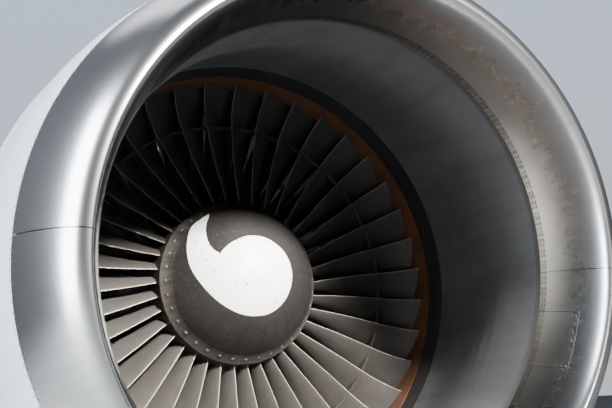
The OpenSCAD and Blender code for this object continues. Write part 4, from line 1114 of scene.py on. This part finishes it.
@dataclass
class Fan:
    """The fan's twisted blades with their mid-span shrouds, platforms and roots."""

    shaft: Shaft
    paint: PaintShop
    count: int = 38
    first_clock: float = 90.0
    edge_stations: tuple[float, float, float, float] = (203.6, 23.2, 24.1, -55.2)
    edge_lean: tuple[float, float, float] = (-12.5, 15.4, -6.4)
    tip_sweep: float = 48.0
    sweep_from: float = 0.7
    root_r: float = 302.0
    tip_r: float = 762.0
    root_chord: float = 95.0
    tip_chord: float = 175.0
    chord_growth: float = 1.15
    root_stagger: float = 16.0
    tip_stagger: float = 61.0
    stagger_growth: float = 0.82
    thickness: Point = (11.0, 7.5)
    camber: Point = (11.0, 8.0)
    bluntness: float = 0.45
    shroud_r: float = 612.0
    shroud_s: float = 243.0
    shroud_half: Point = (4.2, 20.0)
    shroud_gap: float = 0.3
    disc_rim: float = 284.0
    hub_front: Point = (300.0, 177.0)
    hub_aft: Point = (318.0, 299.0)
    platform_turn: float = 2.1
    platform_gap: float = 0.5
    platform_lift: float = 4.0
    root_neck: float = 8.5
    root_foot: float = 14.0
    root_depths: Point = (12.0, 38.0)
    worn_steps: float = 3.5
    edge_layer: str = "leading_edge"
    chord_steps: int = 16
    span_steps: int = 24
    lens_steps: int = 16
    arc_steps: int = 6

    def chord(self, u: float) -> float:
        """Chord at a share of the span."""
        return self.root_chord + (self.tip_chord - self.root_chord) * u**self.chord_growth

    def stagger(self, u: float) -> float:
        """Angle to the shaft at a share of the span, in radians."""
        twist = (self.tip_stagger - self.root_stagger) * u**self.stagger_growth
        return math.radians(self.root_stagger + twist)

    def edge(self, u: float) -> Point:
        """The leading edge.

        Args:
            u: share of the span.

        Returns:
            Its lean in degrees and its station.
        """
        a, b, c, d = self.edge_stations
        tip = max(0.0, (u - self.sweep_from) / (1 - self.sweep_from))
        lean = sum(k * u ** (i + 1) for i, k in enumerate(self.edge_lean))
        return lean, a + b * u + c * u**2 + d * u**3 - self.tip_sweep * tip**2

    def outline(self, u: float) -> list[Point]:
        """A section's outline.

        Args:
            u: share of the span.

        Returns:
            Its points, as chord share and height off the chord.
        """
        shares = [(1 - math.cos(math.pi * i / self.chord_steps)) / 2 for i in range(self.chord_steps + 1)]
        half = (self.thickness[0] - self.thickness[1] * u) / 2
        camber = self.camber[0] - self.camber[1] * u
        bow = [(q, 4 * q * (1 - q)) for q in shares]
        top = [(q, camber * b + half * b**self.bluntness) for q, b in bow]
        low = [(q, camber * b - half * b**self.bluntness) for q, b in bow[-2:0:-1]]
        return top + low

    def section(self, u: float, clock: float) -> list[Vector]:
        """The section's points in the frame.

        Args:
            u: share of the span.
            clock: the blade's clock angle.

        Returns:
            One closed loop.
        """
        r = self.root_r + (self.tip_r - self.root_r) * u
        g, chord = self.stagger(u), self.chord(u)
        lean, front = self.edge(u)
        loop = []
        for q, height in self.outline(u):
            station = front + q * chord * math.cos(g) - height * math.sin(g)
            turn = lean + math.degrees((q * chord * math.sin(g) + height * math.cos(g)) / r)
            loop.append(self.shaft.place(r, clock + turn, station))
        return loop

    def shroud(self, sheet: Sheet, clock: float) -> None:
        """One blade's share of the mid-span ring: a lens-shaped bar from pitch to pitch.

        Args:
            sheet: where it goes.
            clock: the blade's clock angle.
        """
        u = (self.shroud_r - self.root_r) / (self.tip_r - self.root_r)
        lean, front = self.edge(u)
        reach = (self.shroud_s - front) * math.tan(self.stagger(u))
        middle = clock + lean + math.degrees(reach / self.shroud_r)
        half = 180 / self.count - math.degrees(self.shroud_gap / self.shroud_r)
        tall, wide = self.shroud_half
        turns = [2 * math.pi * i / self.lens_steps for i in range(self.lens_steps)]
        lens = [(self.shroud_r + tall * math.sin(t), self.shroud_s - wide * math.cos(t)) for t in turns]
        clocks = spaced(middle - half, middle + half, self.arc_steps)
        sheet.skin([[self.shaft.place(r, c, s) for r, s in lens] for c in clocks])

    def platform(self, sheet: Sheet, clock: float) -> None:
        """One blade's share of the hub surface, and the dovetail under it.

        Args:
            sheet: where they go.
            clock: the blade's clock angle.
        """
        half = 180 / self.count - math.degrees(self.platform_gap / self.hub_front[0])
        middle = clock + self.platform_turn
        low = self.disc_rim + self.platform_lift
        section = [(low, self.hub_front[1]), self.hub_front, self.hub_aft, (low, self.hub_aft[1])]
        clocks = spaced(middle - half, middle + half, self.arc_steps)
        sheet.skin([[self.shaft.place(r, c, s) for r, s in section] for c in clocks])
        neck, foot = (self.disc_rim - depth for depth in self.root_depths)
        dovetail = [(low + 2, self.root_neck), (neck, self.root_neck), (foot, self.root_foot)]
        dovetail += [(r, -w) for r, w in reversed(dovetail)]
        places = [(math.hypot(r, w), clock + math.degrees(math.atan2(w, r))) for r, w in dovetail]
        stations = (self.hub_front[1], self.hub_aft[1])
        sheet.skin([[self.shaft.place(r, c, station) for r, c in places] for station in stations])

    def build(self) -> None:
        """Builds the blade row and stores the mask of the leading edges' wear and painted highlight on its
        mesh.
        """
        sheet, marks = Sheet(), []
        around = 2 * self.chord_steps
        # Mask of the leading edges, for their wear and painted highlight.
        worn = [max(0.0, 1 - min(i, around - i) / self.worn_steps) for i in range(around)]
        for k in range(self.count):
            clock = self.first_clock + 360.0 * k / self.count
            loops = [self.section(u, clock) for u in spaced(0.0, 1.0, self.span_steps)]
            sheet.skin(loops)
            for loop in loops:
                marks += zip(loop, worn)
            self.shroud(sheet, clock)
            self.platform(sheet, clock)
        piece = sheet.make("fan_blade_row", 34.0)
        wear = {tuple(round(v, 5) for v in p): share for p, share in marks}
        layer = piece.data.attributes.new(self.edge_layer, "FLOAT", "POINT")
        values = [wear.get(tuple(round(v, 5) for v in v.co), 0.0) for v in piece.data.vertices]
        layer.data.foreach_set("value", values)
        self.paint.dress(piece, "blade_metal")
        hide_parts("fan_blades")
        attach(piece, "low_pressure_spool")


# ------------------------------------------------------------ spinner


@dataclass
class Spinner:
    """The spinner's dome, its painted spiral and the balance screws round its rim."""

    shaft: Shaft
    paint: PaintShop
    dome_r: float = 270.0
    dome_length: float = 190.0
    joint_turn: float = 52.0
    joint_s: float = 124.2
    rim_r: float = 300.0
    rim_s: float = 175.0
    cone_front: float = 125.0
    skin: float = 5.0
    dome_steps: int = 48
    inside_steps: int = 24
    round_steps: int = 240
    screws: int = 36
    first_clock: float = 90.0
    screw_head: Point = (5.4, 2.0)
    # Radius and rise of the dark disc that paints the shade in each screw's hole.
    screw_hole_shade: Point = (9.5, 0.5)
    screw_sides: int = 20
    mark_margin: float = 0.6
    lobe_steps: tuple[int, int] = (8, 24)
    tail_steps: tuple[int, int] = (9, 16)
    lobe_lift: float = 0.42
    tail_lift: float = 0.36
    lobe_centre: Point = (-18.0, -10.0)
    lobe: tuple[Point, ...] = (
        (7, -147), (51, -131), (86, -100), (109, -58), (118, -14), (113, 29), (93, 71), (64, 100), (29, 121),
        (-9, 129), (-45, 127), (-78, 115), (-108, 97), (-136, 67), (-150, 25), (-150, -30), (-133, -82),
        (-95, -118), (-45, -143),
    )
    tail_outside: tuple[Point, ...] = (
        (-176, 205), (-184, 200), (-204, 168), (-218, 129), (-225, 90), (-225, 51), (-218, 17), (-202, -20),
        (-178, -58), (-149, -91), (-113, -119), (-74, -139), (-32, -148), (7, -147),
    )
    tail_inside: tuple[Point, ...] = (
        (-123, 240), (-131, 223), (-148, 195), (-160, 161), (-164, 122), (-155, 88), (-137, 66), (-122, 30),
        (-118, 0), (-110, -30), (-96, -60), (-72, -85), (-40, -105), (0, -110),
    )

    def half_axes(self) -> Point:
        """The dome's ellipse: half its width and half its length."""
        end = math.radians(self.joint_turn)
        return self.dome_r / math.sin(end), self.dome_length / (1 - math.cos(end))

    def dome(self, turn: float, inset: float = 0.0) -> Point:
        """The dome's curve.

        Args:
            turn: angle from its nose, in degrees.
            inset: how far inside the shell's outer face.

        Returns:
            The radius and station.
        """
        a, end = math.radians(turn), math.radians(self.joint_turn)
        p, q = self.half_axes()
        return (p - inset) * math.sin(a), self.joint_s + q * math.cos(end) - (q - inset) * math.cos(a)

    def on_dome(self, right: float, up: float, lift: float) -> Vector:
        """The point of the dome that lies straight behind a place seen from the front.

        Args:
            right: distance to the right of the shaft.
            up: distance above it.
            lift: how far it stands off the dome.

        Returns:
            The point in metres.
        """
        radius = min(math.hypot(right, up), self.dome_r - self.mark_margin)
        p, q = self.half_axes()
        a = math.asin(radius / p)
        way = Vector((math.sin(a) / p, -math.cos(a) / q)).normalized()
        clock = math.degrees(math.atan2(right, up))
        station = self.joint_s + q * math.cos(math.radians(self.joint_turn)) - q * math.cos(a)
        return self.shaft.place(radius + way[0] * lift, clock, station + way[1] * lift)

    def build_dome(self) -> None:
        """The dome's shell."""
        end = self.joint_turn
        outside = [self.dome(t) for t in spaced(0.0, end, self.dome_steps)]
        inside = [self.dome(t, self.skin) for t in spaced(end, 0.0, self.inside_steps)]
        inside[0] = (inside[0][0], self.joint_s)
        sheet = Sheet()
        clocks = spaced(0.0, 360.0, self.round_steps)[:-1]
        profile = [(max(r, 0.0), s) for r, s in outside + inside]
        sheet.skin([[self.shaft.place(r, c, s) for r, s in profile] for c in clocks], round_trip=True)
        piece = sheet.make("spinner_dome_shell", 36.0)
        self.paint.dress(piece, "spinner_paint")
        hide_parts("spinner_dome")
        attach(piece, "low_pressure_spool")

    @staticmethod
    def smooth_line(points: Sequence[Point], steps: int, closed: bool = False) -> list[Point]:
        """A smooth curve through points.

        Args:
            points: the points.
            steps: pieces between two points.
            closed: True to join the last to the first.

        Returns:
            The curve's points.
        """
        n, line = len(points), []
        for k in range(n if closed else n - 1):
            near = [(k + j) % n if closed else max(0, min(n - 1, k + j)) for j in (-1, 0, 1, 2)]
            a, b, c, d = (points[i] for i in near)
            for step in range(steps):
                t = step / steps
                line.append(tuple(
                    0.5 * (2 * b[i] + (c[i] - a[i]) * t + (2 * a[i] - 5 * b[i] + 4 * c[i] - d[i]) * t**2
                           + (3 * b[i] - a[i] - 3 * c[i] + d[i]) * t**3) for i in (0, 1)))
        return line if closed else line + [points[-1]]

    def build_mark(self) -> None:
        """The white spiral: a round lobe and a tapering tail, both a film of paint on the dome."""
        lobe, tail = Sheet(), Sheet()
        rim = self.smooth_line(self.lobe, self.lobe_steps[0], True)
        cx, cy = self.lobe_centre
        lobe.grid([
            [self.on_dome(cx + (x - cx) * share, cy + (y - cy) * share, self.lobe_lift) for x, y in rim]
            for share in spaced(0.02, 1.0, self.lobe_steps[1])
        ], closed=True)
        lobe.faces.append(list(range(len(rim) - 1, -1, -1)))
        steps, across = self.tail_steps
        sides = zip(self.smooth_line(self.tail_outside, steps), self.smooth_line(self.tail_inside, steps))
        shares = spaced(0.0, 1.0, across)
        tail.grid([
            [self.on_dome(a[0] + (b[0] - a[0]) * t, a[1] + (b[1] - a[1]) * t, self.tail_lift) for t in shares]
            for a, b in sides
        ])
        for sheet, name in ((lobe, "spinner_mark_lobe"), (tail, "spinner_mark_tail")):
            piece = sheet.make(name, 60.0)
            self.paint.dress(piece, "spinner_mark", "spinner_paint")
            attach(piece, "low_pressure_spool")

    def build_screws(self) -> None:
        """The balance screws: domed heads that stand in the rear cone's holes, on dark discs that paint the
        shade in those holes.
        """
        heads, hole_shades = Sheet(), Sheet()
        radius, station = (self.dome_r + self.rim_r) / 2, (self.cone_front + self.rim_s) / 2
        slope = math.atan2(self.rim_r - self.dome_r, self.rim_s - self.cone_front)
        out = (math.cos(slope), -math.sin(slope))
        for k in range(self.screws):
            clock = self.first_clock + 360.0 * k / self.screws
            way = self.shaft.facing(radius, clock, station, out)
            centre = self.shaft.place(radius, clock, station)
            # The dark disc under each head paints the shade in the screw's hole.
            hole_shades.stud(centre, way, *self.screw_hole_shade, self.screw_sides)
            heads.stud(centre, way, *self.screw_head, self.screw_sides)
        for sheet, name, finish in (
            (heads, "balance_screw_heads", "fastener_steel"),
            (hole_shades, "balance_screw_hole_shades", "seam_filler"),
        ):
            piece = sheet.make(name, 30.0)
            self.paint.dress(piece, finish, "fastener_steel")
            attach(piece, "low_pressure_spool")
            if sheet is heads:
                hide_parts("balance_screws")

    def build(self) -> None:
        """Builds the spinner's pieces."""
        self.build_dome()
        self.build_mark()
        self.build_screws()


# ------------------------------------------------------------ studio


@dataclass
class Studio:
    """Floor, lights, backdrop light and the camera."""

    shaft: Shaft
    lens: float = 50.49
    sensor: float = 36.0
    eye: Place = (-1.110, -3.915, -1.450)
    right: Place = (0.9072, -0.4152, -0.0681)
    up: Place = (-0.0336, -0.2328, 0.9719)
    forward: Place = (0.4194, 0.8794, 0.2251)
    fan_face: float = -1.2
    low_air: Colour = (0.62, 0.60, 0.57)
    high_air: Colour = (0.62, 0.74, 0.92)
    air_light: float = 0.13
    air_seen: float = 1.1
    floor_tone: Colour = (0.60, 0.59, 0.57)
    floor_rough: float = 0.7
    floor_drop: float = 0.35
    floor_reach: float = 40.0

    def camera(self) -> None:
        """The camera at the photograph's viewpoint."""
        lens = bpy.data.cameras.new("camera")
        lens.lens, lens.sensor_width = self.lens, self.sensor
        lens.clip_start, lens.clip_end = 0.05, 200.0
        camera = bpy.data.objects.new("camera", lens)
        turn = Matrix((self.right, self.up, [-v for v in self.forward])).transposed()
        camera.matrix_world = Matrix.Translation(self.eye) @ turn.to_4x4()
        bpy.context.scene.collection.objects.link(camera)
        bpy.context.scene.camera = camera

    @staticmethod
    def lamp(
        name: str, place: Vector, target: Vector, size: Point, power: float, tint: Colour, beam: float = 180.0
    ) -> None:
        """A rectangular soft light.

        Args:
            name: its name.
            place: where it hangs.
            target: what it faces.
            size: width and height.
            power: watts.
            tint: its colour.
            beam: how widely it shines, in degrees.
        """
        light = bpy.data.lights.new(name, "AREA")
        light.shape = "RECTANGLE"
        light.size, light.size_y = size
        light.energy, light.color, light.spread = power, tint, math.radians(beam)
        lamp = bpy.data.objects.new(name, light)
        lamp.location = place
        lamp.rotation_euler = (target - place).to_track_quat("-Z", "Y").to_euler()
        bpy.context.scene.collection.objects.link(lamp)

    def lights(self) -> None:
        """A narrow key from high in front, a large soft light at the left, a floor wash and a top fill."""
        fan = Vector((0.0, self.fan_face, self.shaft.height))
        warm, cool, pale = (1.0, 0.965, 0.91), (0.84, 0.92, 1.0), (0.95, 0.97, 1.0)
        left, left_face = Vector((-8.0, -2.2, 1.5)), Vector((0.0, -2.2, 0.0))
        wash, wash_face = Vector((-5.5, -3.0, 3.5)), Vector((-5.0, -2.6, -3.0))
        self.lamp("key", fan + Vector((0.95, -7.2, 3.3)), fan, (0.9, 0.9), 145.0, warm, 26.0)
        self.lamp("left_strip", left, left_face, (5.0, 7.6), 2900.0, cool)
        self.lamp("floor_wash", wash, wash_face, (1.5, 1.5), 90.0, pale, 70.0)
        self.lamp("top_fill", Vector((0.5, 1.0, 5.0)), fan, (5.0, 5.0), 180.0, (0.93, 0.96, 1.0))

    def world(self) -> None:
        """Pale backdrop, cooler above and warmer below, that looks brighter than the light it gives."""
        world = bpy.data.worlds.new("studio")
        bpy.context.scene.world = world
        world.use_nodes = True
        w = Wiring(world.node_tree)
        background = next(n for n in world.node_tree.nodes if n.type == "BACKGROUND")
        split = w.node("ShaderNodeSeparateXYZ")
        w.feed(split.inputs[0], w.node("ShaderNodeTexCoord").outputs["Generated"])
        height = w.ramp(split.outputs[2], -0.25, 0.55)
        w.feed(background.inputs["Color"], w.blend(height, self.low_air, self.high_air))
        seen = w.node("ShaderNodeLightPath").outputs["Is Camera Ray"]
        w.feed(background.inputs["Strength"], w.ramp(seen, 0.0, 1.0, self.air_light, self.air_seen))

    def floor(self) -> None:
        """The plain pale floor, a set drop below the lowest that the engine reaches as it stands, left as
        room for its doors to open.
        """
        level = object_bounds()[0].z - self.floor_drop
        mesh = bpy.data.meshes.new("floor")
        corners = ((-1, -1), (1, -1), (1, 1), (-1, 1))
        points = [(x * self.floor_reach, y * self.floor_reach, level) for x, y in corners]
        mesh.from_pydata(points, [], [(0, 1, 2, 3)])
        floor = bpy.data.objects.new("floor", mesh)
        bpy.context.scene.collection.objects.link(floor)
        material = bpy.data.materials.new("floor")
        material.use_nodes = True
        shader = next(n for n in material.node_tree.nodes if n.type == "BSDF_PRINCIPLED")
        shader.inputs["Base Color"].default_value = (*self.floor_tone, 1.0)
        shader.inputs["Roughness"].default_value = self.floor_rough
        mesh.materials.append(material)
        floor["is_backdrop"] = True

    def build(self) -> None:
        """Sets the studio up."""
        self.camera()
        self.lights()
        self.world()
        self.floor()


def main() -> None:
    logging.basicConfig(level=logging.INFO, format="%(name)s: %(message)s")
    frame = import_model()
    shaft = Shaft.of_frame(frame)
    EffectShop(shaft).build()
    paint = PaintShop()
    paint.build()
    paint.dress_frame(frame)
    Studio(shaft).build()
    Inlet(shaft, paint).build()
    Fan(shaft, paint).build()
    Spinner(shaft, paint).build()


if __name__ == "__main__":
    main()
